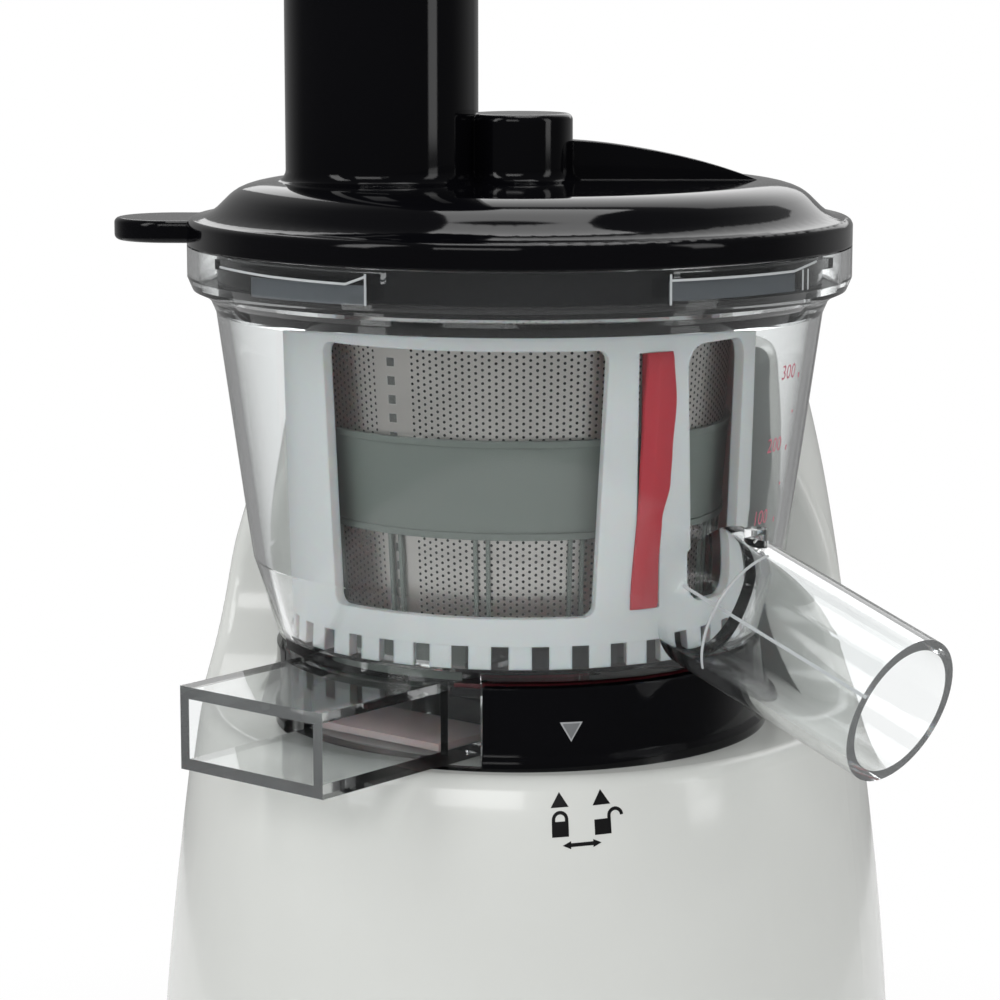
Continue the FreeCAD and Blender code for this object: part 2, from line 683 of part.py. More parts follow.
switch_y = half_depth_at(d.switch_level)
gland_y = half_depth_at(d.gland_level)
bezel_wide = d.switch_width + 2 * d.switch_frame
bezel_tall = d.switch_tall + 2 * d.switch_frame
deck_hole = cylinder("deck_hole", d.deck_bush_outer, 4 * d.shell_wall, (0, 0, deck - 2 * d.shell_wall))
bezel_hole = box(
    "bezel_hole", bezel_wide, 4 * d.switch_depth, bezel_tall,
    (-bezel_wide / 2, switch_y - 2 * d.switch_depth, d.switch_level - bezel_tall / 2),
)
along_y = Rotation(Vector(1, 0, 0), -90)
gland_hole_at = (0, gland_y - 6 * d.shell_wall, d.gland_level)
gland_hole = cylinder("gland_hole", d.gland_neck, 10 * d.shell_wall, gland_hole_at, along_y)
seat_screw_holes = []
for i in range(3):
    x, y = polar((d.seat_radius + d.seat_bore) / 2, 120 * i)
    seat_screw_holes.append(
        cylinder(f"seat_screw_hole_{i}", d.seat_screw_radius, 4 * d.shell_wall, (x, y, deck - 2 * d.shell_wall))
    )
room = cut_in_turn("housing_room", inner_body, *bosses, *pillars)
hollow = cut("housing_hollow", outer_body, room)
housing = cut_in_turn("housing_walls", hollow, deck_hole, bezel_hole, gland_hole, *seat_screw_holes)
node("housing_shell", housing)

# ---------------------------------------------------------------- bottom cover, feet and their screws
cover_inset = float(d.shell_wall + 2 * d.slip_gap)
cover_outline = oval_wire(
    float(d.foot_height), float(d.base_back_shift),
    float(d.base_half_width), float(d.base_half_depth), cover_inset,
)
cover_plate = shaped("cover_plate", Part.Face(cover_outline).extrude(Vector(0, 0, float(d.cover_thick))))
foot_places = [(x * d.foot_side, y) for y in (-d.foot_front, d.foot_rear) for x in (-1, 1)]
cover_cuts = []
for i, (x, y) in enumerate(foot_places):
    cover_cuts.append(cylinder(f"foot_hole_{i}", d.foot_stem_radius, d.foot_stem + 1, (x, y, d.foot_height - 1)))
for i, (x, y) in enumerate(boss_places):
    at = (x, y, d.foot_height - 1)
    cover_cuts.append(cylinder(f"cover_hole_{i}", d.cover_screw_radius + d.slip_gap, d.cover_thick + 2, at))
for i in range(int(d.vent_count)):
    x = d.vent_pitch * (i - (d.vent_count - 1) / 2) - d.vent_width / 2
    at = (x, -d.foot_front - d.vent_length / 2, d.foot_height - 1)
    cover_cuts.append(box(f"vent_{i}", d.vent_width, d.vent_length, d.cover_thick + 2, at))
board_half = (d.board_width / 2 - d.post_radius, d.board_depth / 2 - d.post_radius)
post_places = [(x * board_half[0], d.board_back_shift + y * board_half[1]) for x in (-1, 1) for y in (-1, 1)]
posts = [
    cylinder(f"board_post_{i}", d.post_radius, d.board_level - cover_top + 1, (x, y, cover_top - 1))
    for i, (x, y) in enumerate(post_places)
]
# the motor can stands on a low round pad
motor_pad = cylinder("motor_pad", d.motor_radius - 4, d.motor_level - cover_top + 1, (0, motor_y, cover_top - 1))
pad_bore = cylinder("pad_bore", d.bearing_outer, d.motor_level - cover_top + 2, (0, motor_y, cover_top))
cover_blank = fuse("cover_blank", cover_plate, motor_pad, *posts)
node("bottom_cover", cut("cover_body", cover_blank, *cover_cuts, pad_bore))

for i, (x, y) in enumerate(foot_places):
    pad = cylinder(f"foot_pad_{i}", d.foot_radius, d.foot_height, (x, y, 0))
    stem = cylinder(f"foot_stem_{i}", d.foot_stem_radius, d.foot_height + d.foot_stem, (x, y, 0))
    node(f"rubber_foot_{i + 1}", fuse(f"foot_{i}", pad, stem))

cover_screws = []
for i, (x, y) in enumerate(boss_places):
    head = (x, y, d.foot_height - d.screw_head_tall)
    cover_screws.append(cylinder(f"cover_screw_head_{i}", d.cover_screw_head, d.screw_head_tall, head))
    cover_screws.append(cylinder(f"cover_screw_{i}", d.cover_screw_radius, d.cover_screw_length, head))
node("cover_screws", fuse("cover_screw_group", *cover_screws))

# ---------------------------------------------------------------- motor
can_low = d.motor_level
can_top = case_under
hub = d.bearing_outer + d.motor_wall
motor_at = (0, motor_y, 0)
node("motor_can", turned("can", [
    (d.bearing_outer, can_low), (d.motor_radius, can_low), (d.motor_radius, can_top),
    (d.bearing_outer, can_top), (d.bearing_outer, can_top - d.bearing_thick), (hub, can_top - d.bearing_thick),
    (hub, can_top - d.motor_wall), (d.motor_radius - d.motor_wall, can_top - d.motor_wall),
    (d.motor_radius - d.motor_wall, can_low + d.motor_wall), (hub, can_low + d.motor_wall),
    (hub, can_low + d.bearing_thick), (d.bearing_outer, can_low + d.bearing_thick),
], at=motor_at))
race = d.rotor_shaft_radius + d.run_gap
for name, level in (("motor_bearing_low", can_low), ("motor_bearing_high", can_top - d.bearing_thick)):
    node(name, ring(name + "_race", d.bearing_outer, race, d.bearing_thick, level, (0, motor_y)))
stator_level = can_low + d.bearing_thick + d.fan_thick + 4
core_level = stator_level + 3
stator_inner = d.core_radius + d.play
node("motor_stator", ring(
    "stator", d.motor_radius - d.motor_wall, stator_inner, d.core_length + 6, stator_level, (0, motor_y),
))
shaft_low = can_low - 3
node("rotor_shaft", cylinder(
    "rotor_pin", d.rotor_shaft_radius, fast_level + d.fast_face - shaft_low, (0, motor_y, shaft_low),
))
node("rotor_core", ring("core", d.core_radius, d.rotor_shaft_radius, d.core_length, core_level, (0, motor_y)))
fan_level = can_low + d.bearing_thick + 1
fan_hub = ring("fan_hub", d.fan_hub, d.rotor_shaft_radius, d.fan_thick, fan_level, (0, motor_y))
fan_disc = ring("fan_disc", d.fan_radius, d.rotor_shaft_radius, d.fan_sheet, fan_level, (0, motor_y))
fan_blades = []
for i in range(int(d.fan_blades)):
    azimuth = 360 * i / float(d.fan_blades)
    x, y = polar(d.fan_hub - 1, azimuth)
    at, turn = (x, motor_y + y, fan_level), about_z(azimuth - 90)
    fan_blades.append(box(f"fan_blade_{i}", d.fan_radius - d.fan_hub, d.fan_sheet, d.fan_thick, at, turn))
node("motor_fan", fuse("fan", fan_hub, fan_disc, *fan_blades))

# ---------------------------------------------------------------- gears


def involute(angle):
    return math.tan(angle) - angle


def tooth_half(teeth, module, radius, backlash):
    """Half the angle that a tooth of 20 degree flanks fills at a radius."""
    pitch_radius = teeth * module / 2
    pressure = math.radians(20)
    base = pitch_radius * math.cos(pressure)
    flank = involute(math.acos(base / radius)) if radius > base else 0.0
    return math.pi / (2 * teeth) - backlash / (4 * pitch_radius) + involute(pressure) - flank


def gear_form(teeth, module, face, bore, phase, dedendum=1.25, addendum=1.0):
    """A toothed disc with a round bore; one tooth's middle lies at the phase angle from +X."""
    pitch_radius = teeth * module / 2
    root = pitch_radius - dedendum * module
    tip = pitch_radius + addendum * module
    backlash = float(d.gear_backlash)
    radii = [root, between(root, pitch_radius, 0.55), pitch_radius, between(pitch_radius, tip, 0.55), tip]
    points = []
    for i in range(teeth):
        middle = math.radians(phase) + 2 * math.pi * i / teeth
        rising = [(r, middle - tooth_half(teeth, module, r, backlash)) for r in radii]
        falling = [(r, middle + tooth_half(teeth, module, r, backlash)) for r in reversed(radii)]
        points += [Vector(r * math.cos(a), r * math.sin(a), 0) for r, a in rising + falling]
    disc = Part.Face(Part.makePolygon(points + points[:1])).extrude(Vector(0, 0, face))
    return disc.cut(Part.makeCylinder(bore, face + 2, Vector(0, 0, -1)))


def gear(name, teeth, module, face, bore, at, phase=0.0, dedendum=1.25, addendum=1.0):
    sizes = [float(value) for value in (module, face, bore)]
    form = gear_form(int(float(teeth)), *sizes, phase, dedendum, addendum)
    return place(shaped(name, form), at)


def half_tooth(teeth):
    """From the middle of a tooth to the middle of a space, in degrees."""
    return 180 / float(teeth)


node("motor_pinion", gear(
    "fast_pinion", d.pinion_teeth, d.fast_module, d.fast_face, d.rotor_shaft_radius,
    (0, motor_y, fast_level), 90 + half_tooth(d.pinion_teeth),
))
node("lay_wheel", gear(
    "fast_wheel", d.wheel_teeth, d.fast_module, d.fast_face, d.lay_shaft_radius, (0, lay_y, fast_level), -90,
))
node("lay_pinion", gear(
    "slow_pinion", d.pinion_teeth, d.slow_module, d.slow_face, d.lay_shaft_radius,
    (0, lay_y, slow_level), -90 + half_tooth(d.pinion_teeth),
))
node("output_wheel", gear(
    "slow_wheel", d.wheel_teeth, d.slow_module, d.slow_face, d.output_radius, (0, 0, slow_level), 90,
))
lay_low = case_under + d.play
node("lay_shaft", cylinder("lay_pin", d.lay_shaft_radius, case_cover_top - d.play - lay_low, (0, lay_y, lay_low)))

shaft_top = deck + d.seal_thick + 4
shaft_low = slow_level - 1
shaft_round = cylinder("output_round", d.output_radius, shaft_top - shaft_low, (0, 0, shaft_low))


def hexagon(flats):
    """The corners of a hexagon by its width across flats, a flat facing +Y."""
    corner = flats / math.sqrt(3)
    return [
        (corner * math.cos(math.radians(60 * i)), corner * math.sin(math.radians(60 * i))) for i in range(6)
    ]


hex_end = padded(
    "output_hex", "XY_Plane", hexagon(d.hex_flats), deck + d.hex_rise - shaft_top + 1, (0, 0, shaft_top - 1),
)
node("output_shaft", fuse("output_pin", shaft_round, hex_end))
output_race = d.output_radius + d.run_gap
node("output_bearing", ring(
    "output_race", d.output_bearing_outer, output_race, d.output_bearing_thick, case_top,
))
node("deck_bush", ring("bush", d.deck_bush_outer, output_race, d.deck_bush_tall, deck - d.deck_bush_tall))
node("shaft_seal", ring("seal", d.seal_radius, output_race, d.seal_thick, deck))

# ---------------------------------------------------------------- gearbox case


def case_outline(name, level, height, inset=0):
    """Two overlapping round rooms, one round each stage."""
    slow = cylinder(name + "_slow", case_slow_radius - inset, height, (0, 0, level))
    fast = cylinder(name + "_fast", case_fast_radius - inset, height, (0, lay_y, level))
    return [slow, fast]


def ears(name, level, height):
    return [cylinder(f"{name}_{i}", d.ear_radius, height, (x, y, level)) for i, (x, y) in enumerate(ear_places)]


def ear_holes(name, level, height):
    radius = d.case_screw_radius + d.slip_gap
    return [cylinder(f"{name}_{i}", radius, height, (x, y, level)) for i, (x, y) in enumerate(ear_places)]


lay_bore_radius = d.lay_shaft_radius + d.run_gap
case_tall = case_top - case_under
case_blank = fuse(
    "case_blank", *case_outline("case", case_under, case_tall), *ears("case_ear", case_under, case_tall),
)
case_cuts = [
    *case_outline("case_room", case_floor, case_tall, d.case_wall),
    *ear_holes("case_hole", case_under - 1, case_tall + 2),
    cylinder("pinion_hole", d.pinion_teeth * d.fast_module / 2 + 2, 5 * d.case_wall, (0, motor_y, case_under - 1)),
    cylinder("case_lay_bore", lay_bore_radius, 3 * d.case_wall, (0, lay_y, case_under - 1)),
]
node("gearbox_case", cut("case_body", case_blank, *case_cuts))
bearing_wall = d.output_bearing_outer + d.case_wall
lid_blank = fuse(
    "case_lid_blank", *case_outline("case_lid", case_top, d.case_wall),
    *ears("case_lid_ear", case_top, d.case_wall),
    cylinder("bearing_seat", bearing_wall, d.output_bearing_thick, (0, 0, case_top)),
)
lid_cuts = [
    *ear_holes("case_lid_hole", case_top - 1, d.case_wall + 2),
    cylinder("bearing_bore", d.output_bearing_outer, 2 * d.output_bearing_thick, (0, 0, case_top - 1)),
    cylinder("case_lid_lay_bore", lay_bore_radius, 3 * d.case_wall, (0, lay_y, case_top - 1)),
]
node("gearbox_cover", cut("case_lid_body", lid_blank, *lid_cuts))
case_screws = []
for i, (x, y) in enumerate(ear_places):
    head = (x, y, case_under - d.screw_head_tall)
    length = case_cover_top + d.case_screw_grip - 1 - case_under + d.screw_head_tall
    case_screws.append(cylinder(f"case_screw_head_{i}", d.case_screw_head, d.screw_head_tall, head))
    case_screws.append(cylinder(f"case_screw_{i}", d.case_screw_radius, length, head))
node("gearbox_screws", fuse("case_screw_group", *case_screws))

# ---------------------------------------------------------------- board, switch and cord gland
board_at = (-d.board_width / 2, d.board_back_shift - d.board_depth / 2, d.board_level)
board_top = d.board_level + d.board_thick
board = box("board_sheet", d.board_width, d.board_depth, d.board_thick, board_at)
block_at = (-d.board_width / 6, d.board_back_shift + 8, board_top - 0.5)
block = box("terminal_block", d.board_width / 3, 9, 10, block_at)
chip = box("controller", 12, 8, 3, (-22, d.board_back_shift - 12, board_top - 0.5))
capacitor = cylinder("capacitor", 5, 16, (14, d.board_back_shift - 8, board_top - 0.5))
node("control_board", fuse("board", board, block, chip, capacitor))

pin_y = switch_y + d.switch_reach - d.switch_pin_inset
pocket_wide = d.switch_width + 2 * d.slip_gap
pocket_tall = d.switch_tall + 2 * (d.play + d.slip_gap)
bezel_back = switch_y - d.switch_depth
bezel_blank = box(
    "bezel_blank", bezel_wide, d.switch_depth + d.switch_reach, bezel_tall,
    (-bezel_wide / 2, bezel_back, d.switch_level - bezel_tall / 2),
)
pocket = box(
    "bezel_pocket", pocket_wide, 2 * d.switch_depth, pocket_tall,
    (-pocket_wide / 2, pin_y - d.pocket_inset, d.switch_level - pocket_tall / 2),
)
along_x = Rotation(Vector(0, 1, 0), 90)
pin_reach = d.switch_width / 2 + 1.5
pin_bore = cylinder(
    "pin_bore", d.switch_pin + 2 * d.run_gap, 2 * (pin_reach + d.slip_gap),
    (-pin_reach - d.slip_gap, pin_y, d.switch_level), along_x,
)
node("switch_bezel", cut("bezel", bezel_blank, pocket, pin_bore))
rocker_block = box(
    "rocker_block", d.switch_width, 2 * d.rocker_half_depth, d.switch_tall,
    (-d.switch_width / 2, pin_y - d.rocker_half_depth, d.switch_level - d.switch_tall / 2),
)
rocker_pin = cylinder("rocker_pin", d.switch_pin, 2 * pin_reach, (-pin_reach, pin_y, d.switch_level), along_x)
node("rocker_switch", fuse("rocker", rocker_block, rocker_pin))

gland_outer = (0, gland_y + d.slip_gap, d.gland_level)
gland_inner = (0, gland_y - d.gland_inside, d.gland_level)
gland_flange = cylinder("gland_flange", d.gland_radius, d.gland_reach, gland_outer, along_y)
gland_tube = cylinder("gland_tube", d.gland_neck, d.gland_inside + 1, gland_inner, along_y)
gland_length = d.gland_inside + d.gland_reach
gland_way = cylinder(
    "gland_way", d.gland_bore, 2 * gland_length, (0, gland_y - gland_length, d.gland_level), along_y,
)
node("cord_gland", cut("gland", fuse("gland_blank", gland_flange, gland_tube), gland_way))

# ---------------------------------------------------------------- seat ring on the deck
seat_azimuths = [60 + 360 * i / float(d.lug_count) for i in range(int(d.lug_count))]
seat_top = deck + d.seat_thick
seat_body = ring("seat_body", d.seat_radius, d.seat_bore, d.seat_thick, deck)
seat_lugs = [
    ring_sector(
        f"seat_lug_{i}", d.seat_radius + d.lug_reach, d.seat_radius - 1, d.lug_thick, d.lug_width, azimuth,
        seat_top - d.lug_thick,
    )
    for i, azimuth in enumerate(seat_azimuths)
]
seat_holes = []
seat_screws = []
for i in range(3):
    x, y = polar((d.seat_radius + d.seat_bore) / 2, 120 * i)
    seat_holes.append(cylinder(f"seat_hole_{i}", d.seat_screw_radius + 0.2, d.seat_thick + 2, (x, y, deck - 1)))
    shank_low = deck - d.shell_wall - 4
    shank_long = seat_top + d.screw_head_tall - shank_low
    shank = cylinder(f"seat_screw_{i}", d.seat_screw_radius, shank_long, (x, y, shank_low))
    head = cylinder(f"seat_screw_head_{i}", d.seat_screw_head, d.screw_head_tall, (x, y, seat_top))
    seat_screws += [shank, head]
node("seat_ring", cut("seat", fuse("seat_blank", seat_body, *seat_lugs), *seat_holes))
node("seat_screws", fuse("seat_screw_group", *seat_screws))

# ---------------------------------------------------------------- bowl


def duct_box(name, width, height, start, reach, level):
    """A box along the pulp duct, centred on the spout's azimuth."""
    azimuth = math.radians(float(d.pulp_azimuth))
    across = Vector(math.cos(azimuth), math.sin(azimuth), 0)
    half = float(width) / 2
    x, y = polar(start, d.pulp_azimuth)
    # length lies across the duct, width runs outward along it
    at = (x + half * across.x, y + half * across.y, level)
    return box(name, width, float(reach) - float(start), height, at, about_z(float(d.pulp_azimuth) + 180))


def along_juice(distance):
    """The point on the juice spout's middle line, from its root outward."""
    fall = math.radians(float(d.juice_fall))
    x, y = polar(float(d.juice_root) + distance * math.cos(fall), d.juice_azimuth)
    return x, y, float(floor_under + d.juice_level) - distance * math.sin(fall)


juice_turn = about_z(d.juice_azimuth).multiply(Rotation(Vector(1, 0, 0), 90 + float(d.juice_fall)))


def juice_rod(name, radius, start, length):
    """A rod along the juice spout."""
    return cylinder(name, radius, length, along_juice(start), juice_turn)


pulp_level = floor_under + 0.3 - d.pulp_tall
bend = floor_under + d.bowl_mid_level
under_flange = flange_top - d.flange_height
chamfer = 1.2
cup_outer = turned("bowl_outside", [
    (0, floor_under - 2), (d.hub_radius, floor_under - 2), (d.hub_radius, floor_under),
    (d.bowl_low_radius - 3, floor_under), (d.bowl_low_radius - 0.9, floor_under + 0.9),
    (d.bowl_low_radius, floor_under + 3), (d.bowl_mid_radius, bend), (d.bowl_top_radius, under_flange - 4),
    (d.bowl_top_radius + chamfer, under_flange - chamfer), (d.bowl_top_radius + 2.5, under_flange),
    (d.flange_radius - chamfer, under_flange + chamfer), (d.flange_radius, under_flange + 4),
    (d.flange_radius, flange_top), (0, flange_top),
])
duct = duct_box("pulp_duct", d.pulp_width, d.pulp_tall, d.duct_start, d.pulp_reach, pulp_level)
skirt = ring_sector(
    "clear_skirt", d.bowl_low_radius, d.bowl_low_radius - d.bowl_wall, floor_under + 3 - pulp_level,
    2 * d.skirt_half_angle, d.pulp_azimuth, pulp_level,
)
juice_tube = juice_rod("juice_tube", d.juice_radius, 0, d.juice_length)
peg_x, peg_y, peg_z = along_juice(float(d.peg_place))
peg = cylinder("juice_peg", d.peg_radius, d.juice_radius + d.peg_tall, (peg_x, peg_y, peg_z))
bowl_outside = fuse("bowl_outer_union", cup_outer, duct, skirt, juice_tube, peg)
inner_top = d.bowl_top_radius - d.bowl_wall
channel = d.flange_radius - d.flange_wall
channel_floor = under_flange + d.bowl_wall
cup_inner = turned("bowl_inside", [
    (0, floor_top), (d.bowl_low_radius - d.bowl_wall - 1, floor_top),
    (d.bowl_low_radius - d.bowl_wall, floor_top + 1), (d.bowl_mid_radius - d.bowl_wall, bend),
    (inner_top, under_flange - 3), (inner_top, channel_floor), (channel, channel_floor),
    (channel, flange_top + 1), (0, flange_top + 1),
])
bowl_cuts = [
    cup_inner,
    duct_box(
        "duct_bore", d.pulp_width - 2 * d.pulp_wall, d.pulp_tall - 2 * d.pulp_wall,
        d.duct_start + d.pulp_wall, d.pulp_reach + 1, pulp_level + d.pulp_wall,
    ),
    juice_rod("juice_bore", d.juice_radius - d.juice_wall, 1, d.juice_length),
    ring_sector(
        "port_way", d.port_outer + d.port_wall + d.slip_gap, d.port_inner - d.port_wall - d.slip_gap,
        floor_top + 1 - pulp_level - d.pulp_tall / 2, 2 * (d.port_half_angle + d.port_margin), d.pulp_azimuth,
        pulp_level + d.pulp_tall / 2,
    ),
    cylinder("hub_way", d.hub_bore, 10, (0, 0, floor_under - 4)),
    cylinder("idler_seat", d.idler_bore, d.idler_depth + 1, (
        *polar(float(d.ring_module) * (float(d.sun_teeth) + float(d.idler_teeth)) / 2, d.idler_azimuth),
        floor_top - d.idler_depth,
    )),
]
bowl_cup = cut("bowl_cup", bowl_outside, *bowl_cuts)
shelf_azimuths = [float(d.shelf_azimuth) + 360 * i / float(d.shelf_count) for i in range(int(d.shelf_count))]
shelf_level = flange_top - d.shelf_drop - d.shelf_thick
shelves = [
    ring_sector(
        f"shelf_{i}", channel + 1, channel - d.shelf_reach, d.shelf_thick, d.shelf_span, azimuth, shelf_level,
    )
    for i, azimuth in enumerate(shelf_azimuths)
]
node("bowl", fuse("bowl_body", bowl_cup, *shelves))
hub_low = floor_under - 2
node("shaft_ring", ring("shaft_lip", d.hub_bore, d.journal_radius + d.slip_gap, floor_top - hub_low, hub_low))
node("pulp_gate", duct_box(
    "gate_pad", d.pulp_width - 2 * d.pulp_wall - 1, d.gate_thick, d.duct_start + d.pulp_wall + 1, d.gate_reach,
    pulp_level + d.pulp_wall,
))

# ---------------------------------------------------------------- foot ring under the bowl
collar_in = d.collar_radius - d.collar_wall
plate_low = floor_under - d.gasket_thick - d.collar_plate
plate_top = floor_under - d.gasket_thick
socket_in = d.seat_radius + d.lug_reach + d.lug_play
socket_low = deck + d.seat_lift
collar_body = turned("collar_body", [
    (socket_in, socket_low), (socket_in + 2.6, socket_low), (socket_in + 2.6, plate_low), (collar_in, plate_low),
    (collar_in, deck), (d.collar_radius + d.collar_lip, deck), (d.collar_radius + d.collar_lip, deck + 2),
    (d.collar_radius, deck + 3.2), (d.collar_radius, floor_under - d.slip_gap), (collar_in, floor_under - d.slip_gap),
    (collar_in, plate_top), (socket_in, plate_top),
])
lug_level = seat_top - d.lug_thick - 0.5 - d.lug_thick
collar_lugs = [
    ring_sector(
        f"collar_lug_{i}", socket_in + 1, d.seat_radius + d.lug_play, d.lug_thick, d.lug_width,
        azimuth + float(d.twist_half), lug_level,
    )
    for i, azimuth in enumerate(seat_azimuths)
]


def duct_room(name):
    """Space for the pulp duct with a gap all round."""
    gap = d.slip_gap
    return duct_box(
        name, d.pulp_width + 2 * gap, 2 * d.pulp_tall, d.duct_start - gap, d.pulp_reach, pulp_level - gap,
    )


skirt_room = ring_sector(
    "skirt_room", d.collar_radius + 3, d.bowl_low_radius - d.bowl_wall - d.slip_gap, 2 * d.collar_height,
    2 * (d.skirt_half_angle + 0.4), d.pulp_azimuth, deck + 0.1,
)
node("bowl_foot_ring", cut(
    "collar", fuse("collar_blank", collar_body, *collar_lugs), duct_room("collar_duct_room"), skirt_room,
))
foot_gasket = ring("foot_gasket_ring", d.collar_radius - 4, 44, d.gasket_thick, plate_top)
node("foot_gasket", cut("foot_gasket_body", foot_gasket, duct_room("gasket_duct_room")))

# ---------------------------------------------------------------- gears in the bowl
mesh_module = float(d.ring_module)
idler_phase_azimuth = float(d.idler_azimuth)
# azimuth 0 is -Y, so an azimuth a lies at a - 90 degrees from +X
idler_angle = idler_phase_azimuth - 90
idler_x, idler_y = polar(mesh_module * (float(d.sun_teeth) + float(d.idler_teeth)) / 2, d.idler_azimuth)
node("sun_gear", gear(
    "sun", d.sun_teeth, d.ring_module, d.gear_face, d.journal_radius, (0, 0, gears_level), idler_angle,
    dedendum=0.63, addendum=0.74,
))
node("idler_gear", gear(
    "idler", d.idler_teeth, d.ring_module, d.gear_face, d.idler_bore + d.run_gap,
    (idler_x, idler_y, gears_level), idler_angle + half_tooth(d.idler_teeth), dedendum=0.85, addendum=0.48,
))
node("idler_pin", cylinder(
    "idler_axle", d.idler_bore, gears_top - floor_top + d.idler_depth, (idler_x, idler_y, floor_top - d.idler_depth),
))

# ---------------------------------------------------------------- brush cage


def finger_form(azimuth):
    """One tooth that hangs from the cage and points inward."""
    teeth = int(d.ring_teeth)
    pitch_radius = mesh_module * teeth / 2
    backlash = float(d.gear_backlash)
    inner, outer = float(d.finger_inner), float(d.cage_low_radius)
    middle = math.radians(azimuth - 90)

    def half(radius):
        base = pitch_radius * math.cos(math.radians(20))
        flank = involute(math.acos(base / radius)) if radius > base else 0.0
        space = math.pi / (2 * teeth) + backlash / (4 * pitch_radius) + involute(math.radians(20)) - flank
        return math.pi / teeth - space

    rising = [(r, middle - half(r)) for r in (inner, pitch_radius, outer)]
    falling = [(r, middle + half(r)) for r in (outer, pitch_radius, inner)]
    points = [Vector(r * math.cos(a), r * math.sin(a), 0) for r, a in rising + falling]
    tooth = Part.Face(Part.makePolygon(points + points[:1])).extrude(Vector(0, 0, float(d.gear_face) + 1))
    return tooth.translated(Vector(0, 0, float(gears_level)))


cage_shell = turned("cage_shell", [
    (d.cage_low_radius, gears_top), (d.cage_top_radius, cage_top),
    (d.cage_top_radius - d.cage_wall, cage_top), (d.cage_low_radius - d.cage_wall, gears_top),
])
window_low = gears_top + d.cage_ring
window_tall = cage_top - d.cage_top_ring - window_low


def window_form(azimuth, span, rounding):
    """A slice that narrows to its bottom, its corners rounded, to cut one window."""
    near, far = float(d.cage_low_radius - 3 * d.cage_wall), 2 * float(d.cage_top_radius)
    outlines = []
    for level, width in ((window_low, span - d.window_narrow), (window_low + window_tall, span)):
        half = float(width) / 2
        places = [(near, azimuth - half), (far, azimuth - half), (far, azimuth + half), (near, azimuth + half)]
        corners = [Vector(*polar(*place), float(level)) for place in places]
        outlines.append(Part.makePolygon(corners + corners[:1]))
    slice_ = Part.makeLoft(outlines, True, True)
    sides = [e for e in slice_.Edges if e.BoundBox.ZLength < 0.01 and abs(e.Length - (far - near)) < 0.01]
    return slice_.makeFillet(float(rounding), sides)


wiper_azimuths = [float(d.wiper_azimuth) + 360 * i / float(d.wiper_count) for i in range(int(d.wiper_count))]
windows = []
for i, azimuth in enumerate(wiper_azimuths):
    left = azimuth - float(d.wiper_span + d.window_span) / 2
    right = azimuth + float(d.wiper_span + d.slot_span) / 2
    windows.append(shaped(f"window_wide_{i}", window_form(left, d.window_span, d.window_round)))
    windows.append(shaped(f"window_narrow_{i}", window_form(right, d.slot_span, d.slot_round)))
wiper_low = window_low + 1
wiper_tall = window_tall - 2
slots = [
    sector(f"wiper_slot_{i}", 2 * d.cage_top_radius, wiper_tall, d.wiper_width, azimuth, wiper_low)
    for i, azimuth in enumerate(wiper_azimuths)
]
fingers = [finger_form(idler_phase_azimuth + 360 * i / float(d.ring_teeth)) for i in range(int(d.ring_teeth))]
finger_ring = shaped("cage_fingers", fingers[0].multiFuse(fingers[1:]))
cage_frame = cut("cage_frame", cage_shell, *windows, *slots)
node("brush_cage", fuse("cage", cage_frame, finger_ring))


def cage_radius_at(level):
    share = (float(level) - float(gears_top)) / float(cage_top - gears_top)
    return between(float(d.cage_low_radius), float(d.cage_top_radius), share)


wiper_high = wiper_low + wiper_tall
low_r, high_r = cage_radius_at(wiper_low), cage_radius_at(wiper_high)
for i, azimuth in enumerate(wiper_azimuths):
    turn = about_z(azimuth - 90 - float(d.wiper_width) / 2)
    node(f"wiper_{i + 1}", turned(f"wiper_blade_{i}", [
        (low_r - d.cage_wall, wiper_low), (low_r + d.wiper_stand, wiper_low),
        (high_r + d.wiper_stand, wiper_high), (high_r - d.cage_wall, wiper_high),
    ], d.wiper_width, turn))

# ---------------------------------------------------------------- strainer
strainer_tall = strainer_top - strainer_under


def mesh_radius_at(level):
    """Outside of the strainer's sheet at a level."""
    share = (float(level) - float(strainer_under)) / float(strainer_tall)
    return between(float(d.mesh_low_radius), float(d.mesh_top_radius), share)


sheet_low = strainer_under + d.strainer_floor
r_low, r_high = mesh_radius_at(sheet_low), mesh_radius_at(strainer_top)
node("strainer_mesh", turned("mesh_sheet", [
    (r_low - d.mesh_thick, sheet_low), (r_low, sheet_low), (r_high, strainer_top),
    (r_high - d.mesh_thick, strainer_top),
]))


def band_ring(name, low, high, stand):
    """A ring that follows the sheet's slope from one level to another and stands outside it."""
    low_out, high_out = mesh_radius_at(low), mesh_radius_at(high)
    return turned(name, [(low_out, low), (low_out + stand, low), (high_out + stand, high), (high_out, high)])


band_low = strainer_under + d.band_low
band_high = band_low + d.band_tall
rim_top = strainer_under + d.strainer_rim
frame_shell = band_ring("frame_shell", sheet_low, band_high, d.band_stand)
lips = [
    band_ring("band_lip_low", band_low, band_low + d.band_lip_tall, d.band_stand + d.band_lip),
    band_ring("band_lip_high", band_high - d.band_lip_tall, band_high, d.band_stand + d.band_lip),
]
rib_pitch = 360 / float(d.rib_count)
pair_width = float(2 * d.rib_width + d.rib_gap)
frame_cuts = []
for i in range(int(d.rib_count)):
    azimuth = float(d.rib_azimuth) + rib_pitch * i
    sizes = (2 * d.mesh_top_radius, band_low - rim_top)
    frame_cuts.append(sector(f"mesh_opening_{i}", *sizes, rib_pitch - pair_width, azimuth + rib_pitch / 2, rim_top))
    frame_cuts.append(sector(f"rib_slit_{i}", *sizes, d.rib_gap, azimuth, rim_top))
open_frame = cut("open_frame", frame_shell, *frame_cuts)
port_level = floor_under - 0.9
